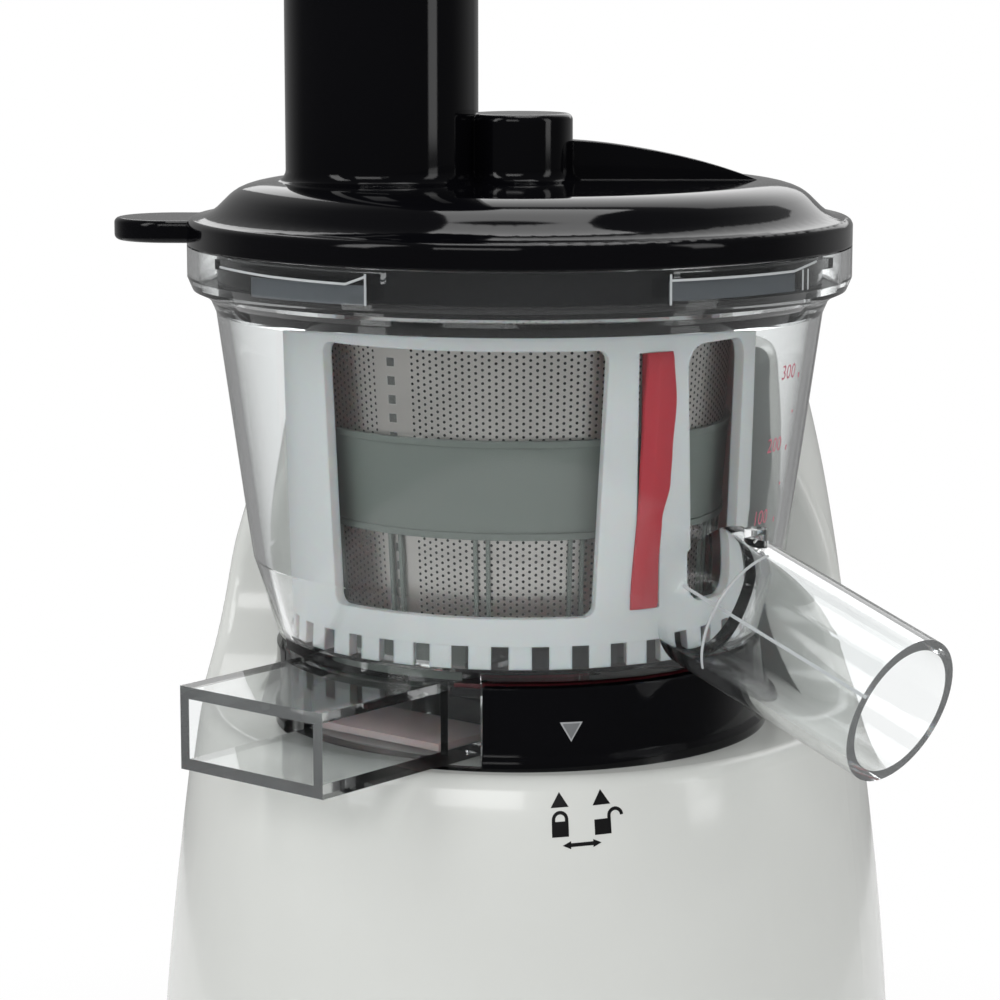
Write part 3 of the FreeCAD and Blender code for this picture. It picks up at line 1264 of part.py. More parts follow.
strainer_floor = cylinder("strainer_floor", r_low + d.band_stand, d.strainer_floor, (0, 0, strainer_under))
port_tube = ring_sector(
    "port_tube", d.port_outer + d.port_wall, d.port_inner - d.port_wall, strainer_under + 1 - port_level,
    2 * (d.port_half_angle + 1.9), d.pulp_azimuth, port_level,
)
port_hole = ring_sector(
    "port_hole", d.port_outer, d.port_inner, sheet_low + 1 - port_level + 1, 2 * d.port_half_angle, d.pulp_azimuth,
    port_level - 1,
)
journal_hole = cylinder("journal_hole", d.journal_radius + d.play, 6, (0, 0, strainer_under - 2))
floor_piece = cut("floor_piece", fuse("floor_blank", strainer_floor, port_tube), port_hole, journal_hole)
node("strainer_frame", fuse("strainer_body", floor_piece, open_frame, *lips))
node("strainer_rim", band_ring("strainer_top_ring", strainer_top - d.strainer_rim, strainer_top, d.band_stand))

# ---------------------------------------------------------------- auger
core = turned("auger_core", [
    (d.journal_radius, auger_under), (d.auger_core_low, auger_under), (d.auger_core_low - 1, auger_under + 12),
    (19, auger_top - 30), (d.auger_core_top, auger_top - 2), (d.auger_core_top - 2, auger_top),
    (d.pivot_radius, auger_top), (d.pivot_radius, pivot_top - 1), (d.pivot_radius - 1, pivot_top), (0, pivot_top),
    (0, auger_under + d.socket_depth), (d.journal_radius, auger_under + d.socket_depth),
])


def flight_form():
    """The screw flight, lofted through one upright rectangle after another."""
    turns, pitch, thick = float(d.flight_turns), float(d.flight_pitch), float(d.flight_thick)
    count = 30
    low = float(auger_under) + 0.6
    profiles = []
    for i in range(count + 1):
        share = i / count
        angle = -2 * math.pi * turns * share
        level = low + pitch * turns * share
        outer = mesh_radius_at(level) - float(d.mesh_thick) - float(d.auger_gap)
        inner = 12.0
        corners = [(inner, level), (outer, level), (outer, level + thick), (inner, level + thick)]
        points = [Vector(r * math.cos(angle), r * math.sin(angle), z) for r, z in corners]
        profiles.append(Part.makePolygon(points + points[:1]))
    return Part.makeLoft(profiles, True, False)


flight = shaped("auger_flight", flight_form())
core_solid = fuse("auger_solid", core, flight)
socket_way = cylinder("socket_way", d.journal_radius, d.socket_depth + 1, (0, 0, auger_under - 1))
node("auger", cut("auger_body", core_solid, socket_way))
socket_low = deck + d.hex_rise - d.socket_grip
socket_tall = auger_under + d.socket_depth - socket_low
socket_body = cylinder("socket_body", d.journal_radius, socket_tall, (0, 0, socket_low))
hex_way = padded(
    "hex_way", "XY_Plane", hexagon(d.hex_flats + d.hex_play), d.socket_grip + 3, (0, 0, socket_low - 1),
)
node("drive_socket", cut("socket", socket_body, hex_way))

# ---------------------------------------------------------------- lid
low_edge = flange_top + d.slip_gap
skirt_low = flange_top - d.lid_skirt_drop
skirt_in = d.lid_skirt_radius - d.lid_skirt_wall


def above_flange(height):
    return flange_top + height


rim_corner = d.lid_rim_radius - d.lid_rim_round
rim_slope = (1, -0.15)
arc_share = math.sqrt(0.5)
lid_cap = spun("lid_cap", [
    ([(0, flange_top + d.lid_tall), (d.lid_dome_radius, flange_top + d.lid_tall)],),
    ([
        (d.lid_dome_radius, above_flange(d.lid_tall)), (60, above_flange(13.4)), (64, above_flange(11.9)),
        (66.8, above_flange(9.5)), (69, above_flange(7.5)), (71, above_flange(6.5)), (rim_corner, above_flange(6)),
    ], (1, 0), rim_slope),
    ([
        (rim_corner, above_flange(6)), (rim_corner + d.lid_rim_round * arc_share, above_flange(5.5)),
        (d.lid_rim_radius, above_flange(4.3)),
    ],),
    ([(d.lid_rim_radius, above_flange(4.3)), (d.lid_rim_radius, low_edge)],),
    ([(d.lid_rim_radius, low_edge), (d.lid_skirt_radius, low_edge)],),
    ([(d.lid_skirt_radius, low_edge), (d.lid_skirt_radius, skirt_low)],),
    ([(d.lid_skirt_radius, skirt_low), (skirt_in, skirt_low)],),
    ([(skirt_in, skirt_low), (skirt_in, above_flange(5))],),
    ([(skirt_in, above_flange(5)), (63.5, above_flange(8.5))],),
    ([(63.5, above_flange(8.5)), (59, ceiling)],),
    ([(59, ceiling), (0, ceiling)],),
    ([(0, ceiling), (0, flange_top + d.lid_tall)],),
])
lid_lug_level = shelf_level - d.slip_gap - d.lid_lug_thick
lid_lugs = [
    ring_sector(
        f"lid_lug_{i}", d.lid_skirt_radius + d.lid_lug_reach, d.lid_skirt_radius - 1, d.lid_lug_thick,
        d.lid_lug_width, azimuth + 1.5, lid_lug_level,
    )
    for i, azimuth in enumerate(shelf_azimuths)
]
press_ring = ring(
    "press_ring", d.mesh_top_radius - 0.2, d.mesh_top_radius - d.lid_wall, ceiling + 1 - strainer_top - d.slip_gap,
    strainer_top + d.slip_gap,
)
tube_x, tube_y = polar(d.tube_offset, d.tube_azimuth)
tube = cylinder("feed_tube", d.tube_radius, tube_top - ceiling - 1, (tube_x, tube_y, ceiling + 1))
tube_root = root_rounding("tube_root", d.tube_radius, above_flange(d.lid_tall), (tube_x, tube_y, 0))
boss_flat = d.boss_radius - d.boss_round
boss_bend = boss_flat + d.boss_round * arc_share
boss = spun("pivot_boss", [
    ([(0, ceiling), (d.boss_radius, ceiling)],),
    ([(d.boss_radius, ceiling), (d.boss_radius, boss_top - d.boss_round)],),
    ([
        (d.boss_radius, boss_top - d.boss_round), (boss_bend, boss_top - d.boss_round * (1 - arc_share)),
        (boss_flat, boss_top),
    ],),
    ([(boss_flat, boss_top), (0, boss_top)],),
    ([(0, boss_top), (0, ceiling)],),
])
boss_root = root_rounding("boss_root", d.boss_radius, above_flange(d.lid_tall))
hump_top = above_flange(d.lid_tall + d.hump_rise)
hump = spun("lid_hump", [
    ([(0, ceiling + 1), (d.hump_radius, ceiling + 1)],),
    ([(d.hump_radius, ceiling + 1), (d.hump_radius, above_flange(13.5))],),
    ([
        (d.hump_radius, above_flange(13.5)), (43, above_flange(17.6)), (31, above_flange(20.4)),
        (18, above_flange(22.4)), (0, hump_top),
    ], (-1, 0.4), (-1, 0)),
    ([(0, hump_top), (0, ceiling + 1)],),
], d.hump_span, about_z(d.hump_azimuth - 90))
tab_azimuth = d.tube_azimuth - 2
tab_level = above_flange(0.5)


def tab_form():
    """The tab's plate with its round end and softened edges, lying along +X from the bowl axis."""
    thick, half = float(d.tab_thick), float(d.tab_width) / 2
    root, middle = float(d.lid_skirt_radius), float(d.tab_reach) - half
    plate = Part.makeBox(middle - root, 2 * half, thick, Vector(root, -half, 0))
    whole = plate.fuse(Part.makeCylinder(half, thick, Vector(middle, 0, 0))).removeSplitter()
    return whole.makeFillet(float(d.tab_round), [e for e in whole.Edges if e.BoundBox.XMax > middle + 1])


tab = place(shaped("lid_tab", tab_form()), (0, 0, tab_level), about_z(tab_azimuth - 90))
lid_blank = fuse("lid_blank", lid_cap, *lid_lugs, press_ring, tube, tube_root, boss, boss_root, hump, tab)
tube_bore = d.tube_radius - d.tube_wall
feed_way = cylinder("feed_way", tube_bore, tube_top + 1 - above_flange(5), (tube_x, tube_y, above_flange(5)))
bushing_outer = d.pivot_radius + d.run_gap + d.bushing_wall
bushing_top = pivot_top + d.bushing_head
bushing_way = cylinder("bushing_way", bushing_outer, bushing_top - ceiling + 1, (0, 0, ceiling - 1))
node("lid", cut("lid_body", lid_blank, feed_way, bushing_way))
node("lid_bushing", ring("bushing", bushing_outer, d.pivot_radius + d.run_gap, bushing_top - ceiling, ceiling))
node("lid_gasket", ring(
    "gasket", d.lid_skirt_radius - d.lid_gasket_inset, skirt_in + d.lid_gasket_inset, d.lid_gasket_tall,
    skirt_low - d.lid_gasket_tall,
))

# ---------------------------------------------------------------- pusher
pusher_radius = tube_bore - d.pusher_gap
pusher_low = tube_top + d.slip_gap - d.pusher_drop
cap_low = tube_top + d.slip_gap
cap_top = cap_low + d.pusher_cap_tall
groove_low = cap_low + d.grip_inset
groove_high = cap_top - d.grip_inset
groove_in = d.pusher_cap_radius - d.grip_ring
node("pusher", turned("pusher_body", [
    (0, pusher_low), (pusher_radius - 1, pusher_low), (pusher_radius, pusher_low + 1), (pusher_radius, cap_low),
    (d.pusher_cap_radius, cap_low), (d.pusher_cap_radius, groove_low), (groove_in, groove_low),
    (groove_in, groove_high), (d.pusher_cap_radius, groove_high),
    (d.pusher_cap_radius, cap_top - 1.5), (d.pusher_cap_radius - 1.5, cap_top), (0, cap_top),
], at=(tube_x, tube_y, 0)))
node("grip_ring", ring(
    "grip", d.pusher_cap_radius + d.grip_stand, groove_in, groove_high - groove_low, groove_low,
    (tube_x, tube_y),
))

# ---------------------------------------------------------------- checks and export
doc.recompute()
for piece in doc.Objects:
    if "Invalid" in piece.State or "Error" in piece.State:
        raise RuntimeError(f"{piece.Name} did not compute: {piece.State}")
for piece in NODES:
    if piece.Shape.isNull() or not piece.Shape.isValid():
        raise RuntimeError(f"{piece.Label} has no valid shape")
os.makedirs("parts", exist_ok=True)
for piece in NODES:
    piece.Shape.exportStep(f"parts/{piece.Label}.step")
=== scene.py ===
"""Looks of a cold press juicer: finishes, fine pieces, printed marks and a plain studio."""
import logging
import math
from dataclasses import dataclass
from enum import Enum
from typing import ClassVar, Sequence

import bmesh
import bpy
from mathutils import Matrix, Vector
from mathutils.bvhtree import BVHTree


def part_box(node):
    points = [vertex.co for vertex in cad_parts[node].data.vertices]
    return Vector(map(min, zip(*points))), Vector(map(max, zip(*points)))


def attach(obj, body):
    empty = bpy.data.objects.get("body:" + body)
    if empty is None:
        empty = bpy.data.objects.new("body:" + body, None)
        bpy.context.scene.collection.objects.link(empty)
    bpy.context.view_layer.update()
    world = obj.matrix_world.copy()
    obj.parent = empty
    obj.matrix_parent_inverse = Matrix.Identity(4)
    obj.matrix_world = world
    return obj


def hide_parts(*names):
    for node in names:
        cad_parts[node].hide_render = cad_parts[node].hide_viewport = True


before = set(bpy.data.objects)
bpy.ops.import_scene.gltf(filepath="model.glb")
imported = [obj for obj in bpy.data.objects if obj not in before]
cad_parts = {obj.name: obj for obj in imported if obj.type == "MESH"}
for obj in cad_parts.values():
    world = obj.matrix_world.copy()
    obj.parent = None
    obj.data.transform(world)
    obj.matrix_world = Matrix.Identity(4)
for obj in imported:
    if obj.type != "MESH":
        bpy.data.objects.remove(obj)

log = logging.getLogger("juicer")

Colour = tuple[float, float, float]
Point = tuple[float, float, float]
Flat = tuple[float, float]
MM = 0.001
SHARP_ANGLE = 35.0
CLEAR_OF_ALL = 150.0
RIDGE_SECTION: tuple[Flat, ...] = ((-0.5, -0.25), (-0.32, 0.6), (0.0, 1.0), (0.32, 0.6), (0.5, -0.25))


def paint(red: int, green: int, blue: int) -> Colour:
    """Turn a colour as it is seen on a screen, 0 to 255, into light values.

    Args:
        red: The red share.
        green: The green share.
        blue: The blue share.

    Returns:
        The same colour in linear light.
    """
    def linear(level: int) -> float:
        """One channel in linear light."""
        share = level / 255
        return share / 12.92 if share <= 0.04045 else ((share + 0.055) / 1.055) ** 2.4
    return linear(red), linear(green), linear(blue)


def polar(radius: float, azimuth: float, level: float) -> Vector:
    """Give a point by radius and azimuth round the bowl's axis.

    Args:
        radius: Distance from the axis, in millimetres.
        azimuth: Degrees from the user's side towards +X.
        level: Height above the counter, in millimetres.

    Returns:
        The point in metres.
    """
    angle = math.radians(azimuth)
    return Vector((radius * math.sin(angle), -radius * math.cos(angle), level)) * MM


def eased(table: Sequence[Flat], at: float) -> float:
    """Read a smooth curve through a table of places and values.

    Args:
        table: Place and value of each point, in rising order of place.
        at: Where the curve is read.

    Returns:
        The value there.
    """
    if at <= table[0][0]:
        return table[0][1]
    for (low, first), (high, second) in zip(table, table[1:]):
        if at <= high:
            share = (at - low) / (high - low)
            return first + (second - first) * share * share * (3 - 2 * share)
    return table[-1][1]


# ------------------------------------------------------------------ shader maths


class Socket:
    """An output of a shader node that can be used in sums."""

    def __init__(self, tree: "Tree", end: bpy.types.NodeSocket) -> None:
        """Keep the tree and the node's output."""
        self.tree = tree
        self.end = end

    def _math(self, operation: str, *others: "Socket | float", swapped: bool = False) -> "Socket":
        """Add one Math node.

        Args:
            operation: The Math node's operation.
            others: The other values or sockets.
            swapped: Whether this socket is the second value.

        Returns:
            The result's socket.
        """
        values: list["Socket | float"] = [self, *others]
        if swapped:
            values.reverse()
        return self.tree.add("ShaderNodeMath", {"operation": operation}, dict(enumerate(values)))

    def __add__(self, other: "Socket | float") -> "Socket":
        """Sum."""
        return self._math("ADD", other)

    __radd__ = __add__

    def __sub__(self, other: "Socket | float") -> "Socket":
        """Difference."""
        return self._math("SUBTRACT", other)

    def __rsub__(self, other: float) -> "Socket":
        """Difference from a number."""
        return self._math("SUBTRACT", other, swapped=True)

    def __mul__(self, other: "Socket | float") -> "Socket":
        """Product."""
        return self._math("MULTIPLY", other)

    __rmul__ = __mul__

    def __truediv__(self, other: "Socket | float") -> "Socket":
        """Quotient."""
        return self._math("DIVIDE", other)

    def __rtruediv__(self, other: float) -> "Socket":
        """A number divided by this."""
        return self._math("DIVIDE", other, swapped=True)

    def __lt__(self, other: "Socket | float") -> "Socket":
        """1 where this is less."""
        return self._math("LESS_THAN", other)

    def __gt__(self, other: "Socket | float") -> "Socket":
        """1 where this is more."""
        return self._math("GREATER_THAN", other)

    def __or__(self, other: "Socket | float") -> "Socket":
        """The larger of the two."""
        return self._math("MAXIMUM", other)

    __ror__ = __or__

    def __abs__(self) -> "Socket":
        """Size without its sign."""
        return self._math("ABSOLUTE")

    def fraction(self) -> "Socket":
        """The part after the point."""
        return self._math("FRACT")

    def floored(self) -> "Socket":
        """The whole part."""
        return self._math("FLOOR")

    def squared(self) -> "Socket":
        """The value times itself."""
        return self._math("MULTIPLY", self)

    def root(self) -> "Socket":
        """Square root."""
        return self._math("SQRT")

    def smooth(self, low: float, high: float) -> "Socket":
        """Ease from 0 at low to 1 at high.

        Args:
            low: Where the result is 0.
            high: Where the result is 1.

        Returns:
            The eased socket.
        """
        settings = {"interpolation_type": "SMOOTHSTEP", "clamp": True}
        inputs = {"Value": self, "From Min": low, "From Max": high}
        return self.tree.add("ShaderNodeMapRange", settings, inputs)


class Tree:
    """A shader's node tree, filled one node at a time."""

    def __init__(self, owner: bpy.types.Material | bpy.types.World) -> None:
        """Start with an empty tree.

        Args:
            owner: The material or world that holds the tree.
        """
        self.owner = owner
        owner.use_nodes = True
        self.nodes = owner.node_tree.nodes
        self.links = owner.node_tree.links
        self.nodes.clear()
        self._place: tuple[Socket, ...] | None = None

    @classmethod
    def material(cls, name: str) -> "Tree":
        """Start a new material."""
        return cls(bpy.data.materials.new(name))

    def node(
        self,
        kind: str,
        settings: dict[str, object] | None = None,
        inputs: dict[str | int, object] | None = None,
    ) -> bpy.types.ShaderNode:
        """Add a node. Every node of every tree is made here.

        Args:
            kind: The node's type.
            settings: Properties of the node, set before its inputs.
            inputs: Values or sockets by the name or number of the input.

        Returns:
            The node.
        """
        node = self.nodes.new(kind)
        for name, value in (settings or {}).items():
            setattr(node, name, value)
        for name, value in (inputs or {}).items():
            socket = node.inputs[name]
            if isinstance(value, Socket):
                self.links.new(value.end, socket)
            elif isinstance(value, tuple) and len(value) == 3 and socket.type == "RGBA":
                socket.default_value = (*value, 1.0)
            else:
                socket.default_value = value
        return node

    def add(
        self,
        kind: str,
        settings: dict[str, object] | None = None,
        inputs: dict[str | int, object] | None = None,
        output: str | int = 0,
    ) -> Socket:
        """Add a node and give one of its outputs.

        Args:
            kind: The node's type.
            settings: Properties of the node.
            inputs: Values or sockets by the name or number of the input.
            output: Name or number of the output.

        Returns:
            The socket of that output.
        """
        return Socket(self, self.node(kind, settings, inputs).outputs[output])

    def parts(self, vector: Socket) -> tuple[Socket, ...]:
        """Split a vector into its three parts."""
        split = self.node("ShaderNodeSeparateXYZ", inputs={0: vector})
        return tuple(Socket(self, end) for end in split.outputs)

    def rays(self, *names: str) -> tuple[Socket, ...]:
        """What kind of ray meets the surface.

        Args:
            names: Names of the light path's outputs.

        Returns:
            Their sockets, in the same order.
        """
        path = self.node("ShaderNodeLightPath")
        return tuple(Socket(self, path.outputs[name]) for name in names)

    def place(self) -> tuple[Socket, ...]:
        """Find where on the piece itself a point lies; the nodes are made once.

        Returns:
            Its three coordinates, in metres.
        """
        if self._place is None:
            self._place = self.parts(self.add("ShaderNodeTexCoord", output="Object"))
        return self._place

    def noise(self, scale: float, detail: float = 2.0, stretch: Point = (1, 1, 1)) -> Socket:
        """Soft random variation over the surface.

        Args:
            scale: Number of waves along a metre.
            detail: Finer layers on top.
            stretch: Scale along each axis.

        Returns:
            A socket from 0 to 1.
        """
        where = self.add("ShaderNodeTexCoord", output="Object")
        mapped = self.add("ShaderNodeMapping", inputs={"Vector": where, "Scale": Vector(stretch)})
        return self.add("ShaderNodeTexNoise", inputs={"Vector": mapped, "Scale": scale, "Detail": detail})

    def blend(self, share: Socket, low: Colour | Socket, high: Colour | Socket) -> Socket:
        """Mix two colours.

        Args:
            share: 0 gives low, 1 gives high.
            low: The first colour.
            high: The second colour.

        Returns:
            The mixed colour.
        """
        return self.add("ShaderNodeMix", {"data_type": "RGBA"}, {0: share, 6: low, 7: high}, 2)

    def bump(self, height: Socket, depth: float, strength: float = 1.0, edge: float = 0.0) -> Socket:
        """Turn a height into a normal.

        Args:
            height: The height, 0 to 1.
            depth: Real height of a full step, in metres.
            strength: Share of the effect.
            edge: Radius that sharp edges show, in metres.

        Returns:
            The normal.
        """
        inputs = {"Height": height, "Distance": depth, "Strength": strength}
        if edge:
            inputs["Normal"] = self.add("ShaderNodeBevel", {"samples": 4}, {"Radius": edge})
        return self.add("ShaderNodeBump", inputs=inputs)

    def finish(
        self, shader: Socket, kind: str = "ShaderNodeOutputMaterial",
    ) -> bpy.types.Material | bpy.types.World:
        """Join a shader to a new output node.

        Args:
            shader: The shader.
            kind: The output node's type.

        Returns:
            The material or world that the tree belongs to.
        """
        self.node(kind, inputs={"Surface": shader})
        return self.owner


# ------------------------------------------------------------------ finishes


class Grain(Enum):
    """What the skin of a finish is like close up: waves a metre, layers, stretch, step in metres."""

    POLISHED = (30, 1, (1, 1, 1), 0.00002)
    SATIN = (1200, 2, (1, 1, 1), 0.00002)
    SPARK = (2600, 3, (1, 1, 1), 0.00004)
    BRUSHED = (400, 3, (0.6, 0.6, 12), 0.00003)
    CAST = (900, 4, (1, 1, 1), 0.00012)
    SOFT = (1500, 2, (1, 1, 1), 0.00003)


@dataclass(frozen=True)
class Finish:
    """An opaque finish with slight unevenness in colour, gloss and height.

    The radius of its edges is in metres, the waves of its clouds and wear are counted along a metre.
    """

    name: str
    colour: Colour
    roughness: float = 0.4
    metallic: float = 0.0
    coat: float = 0.0
    grain: Grain = Grain.SATIN
    shift: float = 0.05
    subsurface: float = 0.0
    ior: float = 1.45
    edge: float = 0.0
    cloud_waves: float = 18
    wear_waves: float = 55
    wear: float = 0.3
    coat_roughness: float = 0.04
    subsurface_depth: float = 0.004

    def base(self, tree: Tree) -> Socket:
        """Vary the colour slightly over the surface.

        Args:
            tree: The material's tree.

        Returns:
            The colour's socket.
        """
        cloud = tree.noise(self.cloud_waves, 3)
        dark = tuple(max(0.0, c * (1 - self.shift)) for c in self.colour)
        light = tuple(min(1.0, c * (1 + self.shift)) for c in self.colour)
        return tree.blend(cloud.smooth(0.3, 0.7), dark, light)

    def material(self) -> bpy.types.Material:
        """Build the finish.

        Returns:
            The material.
        """
        tree = Tree.material(self.name)
        waves, layers, stretch, step = self.grain.value
        height = tree.noise(waves, layers, stretch)
        worn = tree.noise(self.wear_waves, 4)
        inputs = {
            "Base Color": self.base(tree),
            "Roughness": self.roughness * (1 - self.wear / 2 + self.wear * worn),
            "Metallic": self.metallic,
            "IOR": self.ior,
            "Coat Weight": self.coat,
            "Coat Roughness": self.coat_roughness,
            "Normal": tree.bump(height, step, edge=self.edge),
            "Subsurface Weight": self.subsurface,
            "Subsurface Scale": self.subsurface_depth,
        }
        return tree.finish(tree.add("ShaderNodeBsdfPrincipled", inputs=inputs))


@dataclass(frozen=True)
class JuiceSpout:
    """The round spout that falls away from the bowl. Lengths are in millimetres, angles in degrees."""

    azimuth: float = 51.0
    fall: float = 18.5
    root: float = 46.0
    level: float = 217.6
    radius: float = 16.5
    wall: float = 2.4
    length: float = 67.5

    def point(self, along: float, turn: float, radius: float) -> tuple[Vector, Vector]:
        """Give a point round the spout.

        Args:
            along: Millimetres from its root.
            turn: Degrees from its top towards the user's side.
            radius: Distance from its middle line.

        Returns:
            The point in metres and its outward direction.
        """
        fall, azimuth = math.radians(self.fall), math.radians(self.azimuth)
        out = Vector((math.sin(azimuth), -math.cos(azimuth), 0))
        axis = out * math.cos(fall) - Vector((0, 0, 1)) * math.sin(fall)
        middle = out * self.root + Vector((0, 0, self.level)) + axis * along
        up = (Vector((0, 0, 1)) - axis * axis.z).normalized()
        side = axis.cross(up)
        if side.y > 0:
            side = -side
        outward = up * math.cos(math.radians(turn)) + side * math.sin(math.radians(turn))
        return (middle + outward * radius) * MM, outward


@dataclass(frozen=True)
class PulpSpout:
    """The square spout on the other side: its azimuth in degrees and its end in millimetres."""

    azimuth: float = -34.5
    end: float = 89.0


@dataclass(frozen=True)
class ClearPlastic:
    """Water-clear moulded plastic with a trace of haze; the spouts' end faces get more of the milky mix as
    painted light, which makes them paler.
    """

    name: str
    colour: Colour = (0.95, 0.965, 0.965)
    thick_tint: float = 0.985
    roughness: float = 0.03
    ior: float = 1.33
    ripple: float = 0.00015
    haze: float = 0.012
    end_face_painted_light: float = 0.2
    haze_and_end_light_colour: Colour = paint(214, 218, 219)
    haze_roughness: float = 0.3
    face_depth: float = 0.1
    juice: JuiceSpout = JuiceSpout()
    pulp: PulpSpout = PulpSpout()

    def cut_faces(self, tree: Tree) -> Socket:
        """1 on the end faces of the two spouts, where the wall is seen end on.

        Args:
            tree: The material's tree.

        Returns:
            A socket of 0 or 1.
        """
        x, y, z = (part / MM for part in tree.place())

        def out(azimuth: float) -> Socket:
            """Distance from the axis along an azimuth."""
            angle = math.radians(azimuth)
            return x * math.sin(angle) - y * math.cos(angle)

        fall = math.radians(self.juice.fall)
        reach = out(self.juice.azimuth) - self.juice.root
        along = reach * math.cos(fall) - (z - self.juice.level) * math.sin(fall)
        pulp_face = out(self.pulp.azimuth) > self.pulp.end - self.face_depth
        return pulp_face | (along > self.juice.length - self.face_depth)

    def material(self) -> bpy.types.Material:
        """Build the finish.

        Returns:
            The material.
        """
        tree = Tree.material(self.name)
        cloud = tree.noise(25, 3)
        normal = tree.bump(tree.noise(14, 2), self.ripple)
        dim = tuple(c * self.thick_tint for c in self.colour)
        glass = tree.add("ShaderNodeBsdfPrincipled", inputs={
            "Base Color": tree.blend(cloud.smooth(0.3, 0.8), self.colour, dim),
            "Roughness": self.roughness * (0.7 + 0.6 * cloud),
            "IOR": self.ior,
            "Transmission Weight": 1.0,
            "Normal": normal,
        })
        haze_and_painted_light = tree.add("ShaderNodeBsdfPrincipled", inputs={
            "Base Color": self.haze_and_end_light_colour, "Roughness": self.haze_roughness, "Normal": normal,
        })
        # More of the milky mix on the spouts' end faces: painted light that makes them paler.
        share = (self.haze + self.end_face_painted_light * self.cut_faces(tree)) * (0.5 + cloud)
        return tree.finish(tree.add("ShaderNodeMixShader", inputs={0: share, 1: glass, 2: haze_and_painted_light}))


@dataclass(frozen=True)
class PerforatedSteel:
    """Bright steel sheet with staggered holes, and a plain seam strip with a column of windows; a light
    ring round each hole and each window is a painted highlight.

    Lengths are in millimetres, azimuths in degrees.
    """

    name: str
    colour: Colour = (0.74, 0.71, 0.68)
    column: float = 1.42
    row: float = 1.45
    hole: float = 0.33
    radius: float = 46.5
    seam: float = -30.2
    seam_half: float = 5.4
    window: float = 2.0
    window_pitch: float = 4.1
    window_start: float = 250.35
    soft: float = 0.05
    hole_colour: Colour = (0.008, 0.008, 0.01)
    painted_highlight_colour: Colour = (0.86, 0.85, 0.83)
    # Colour of the painted highlight rings round the holes and the windows.
    window_colour: Colour = paint(92, 94, 92)
    dent: float = 0.0003

    def material(self) -> bpy.types.Material:
        """Build the finish.

        Returns:
            The material.
        """
        tree = Tree.material(self.name)
        x, y, z = tree.place()
        azimuth = tree.add("ShaderNodeMath", {"operation": "ARCTAN2"}, {0: x, 1: 0 - y})
        level = z / MM
        around = azimuth * (self.radius / self.column)
        shift = (around.floored() * 0.5).fraction()
        across = (around.fraction() - 0.5) * self.column
        along = ((level / self.row + shift).fraction() - 0.5) * self.row
        distance = (across.squared() + along.squared()).root()
        from_seam = abs(azimuth - math.radians(self.seam)) * self.radius
        sheet = from_seam > math.radians(self.seam_half) * self.radius
        hole, soft = self.hole, self.soft
        inside = (1 - distance.smooth(hole - 0.06, hole + soft)) * sheet
        # A light ring round each hole and round each window: painted highlight, mixed into the steel's
        # colour below.
        hole_highlight = distance.smooth(hole, hole + 0.06) * (1 - distance.smooth(hole + 0.08, hole + 0.2))
        step = abs(((level - self.window_start) / self.window_pitch).fraction() - 0.5) * self.window_pitch
        away = from_seam | step
        half = self.window / 2
        window = 1 - away.smooth(half - 2 * soft, half)
        window_highlight = away.smooth(half - soft, half) * (1 - away.smooth(half + 0.1, half + 0.3))
        cloud = tree.noise(60, 3)
        metal = tree.blend(cloud.smooth(0.3, 0.7), tuple(c * 0.92 for c in self.colour), self.colour)
        highlighted = tree.blend((hole_highlight * sheet * 0.4) | (window_highlight * 0.3), metal, self.painted_highlight_colour)
        windowed = tree.blend(window, highlighted, self.window_colour)
        opening = inside | window
        steel = tree.add("ShaderNodeBsdfPrincipled", inputs={
            "Base Color": tree.blend(inside, windowed, self.hole_colour),
            "Metallic": 1 - opening,
            "Roughness": 0.27 + 0.1 * cloud + 0.4 * opening,
            "Normal": tree.bump(1 - opening, self.dent, 0.7),
        })
        return tree.finish(steel)


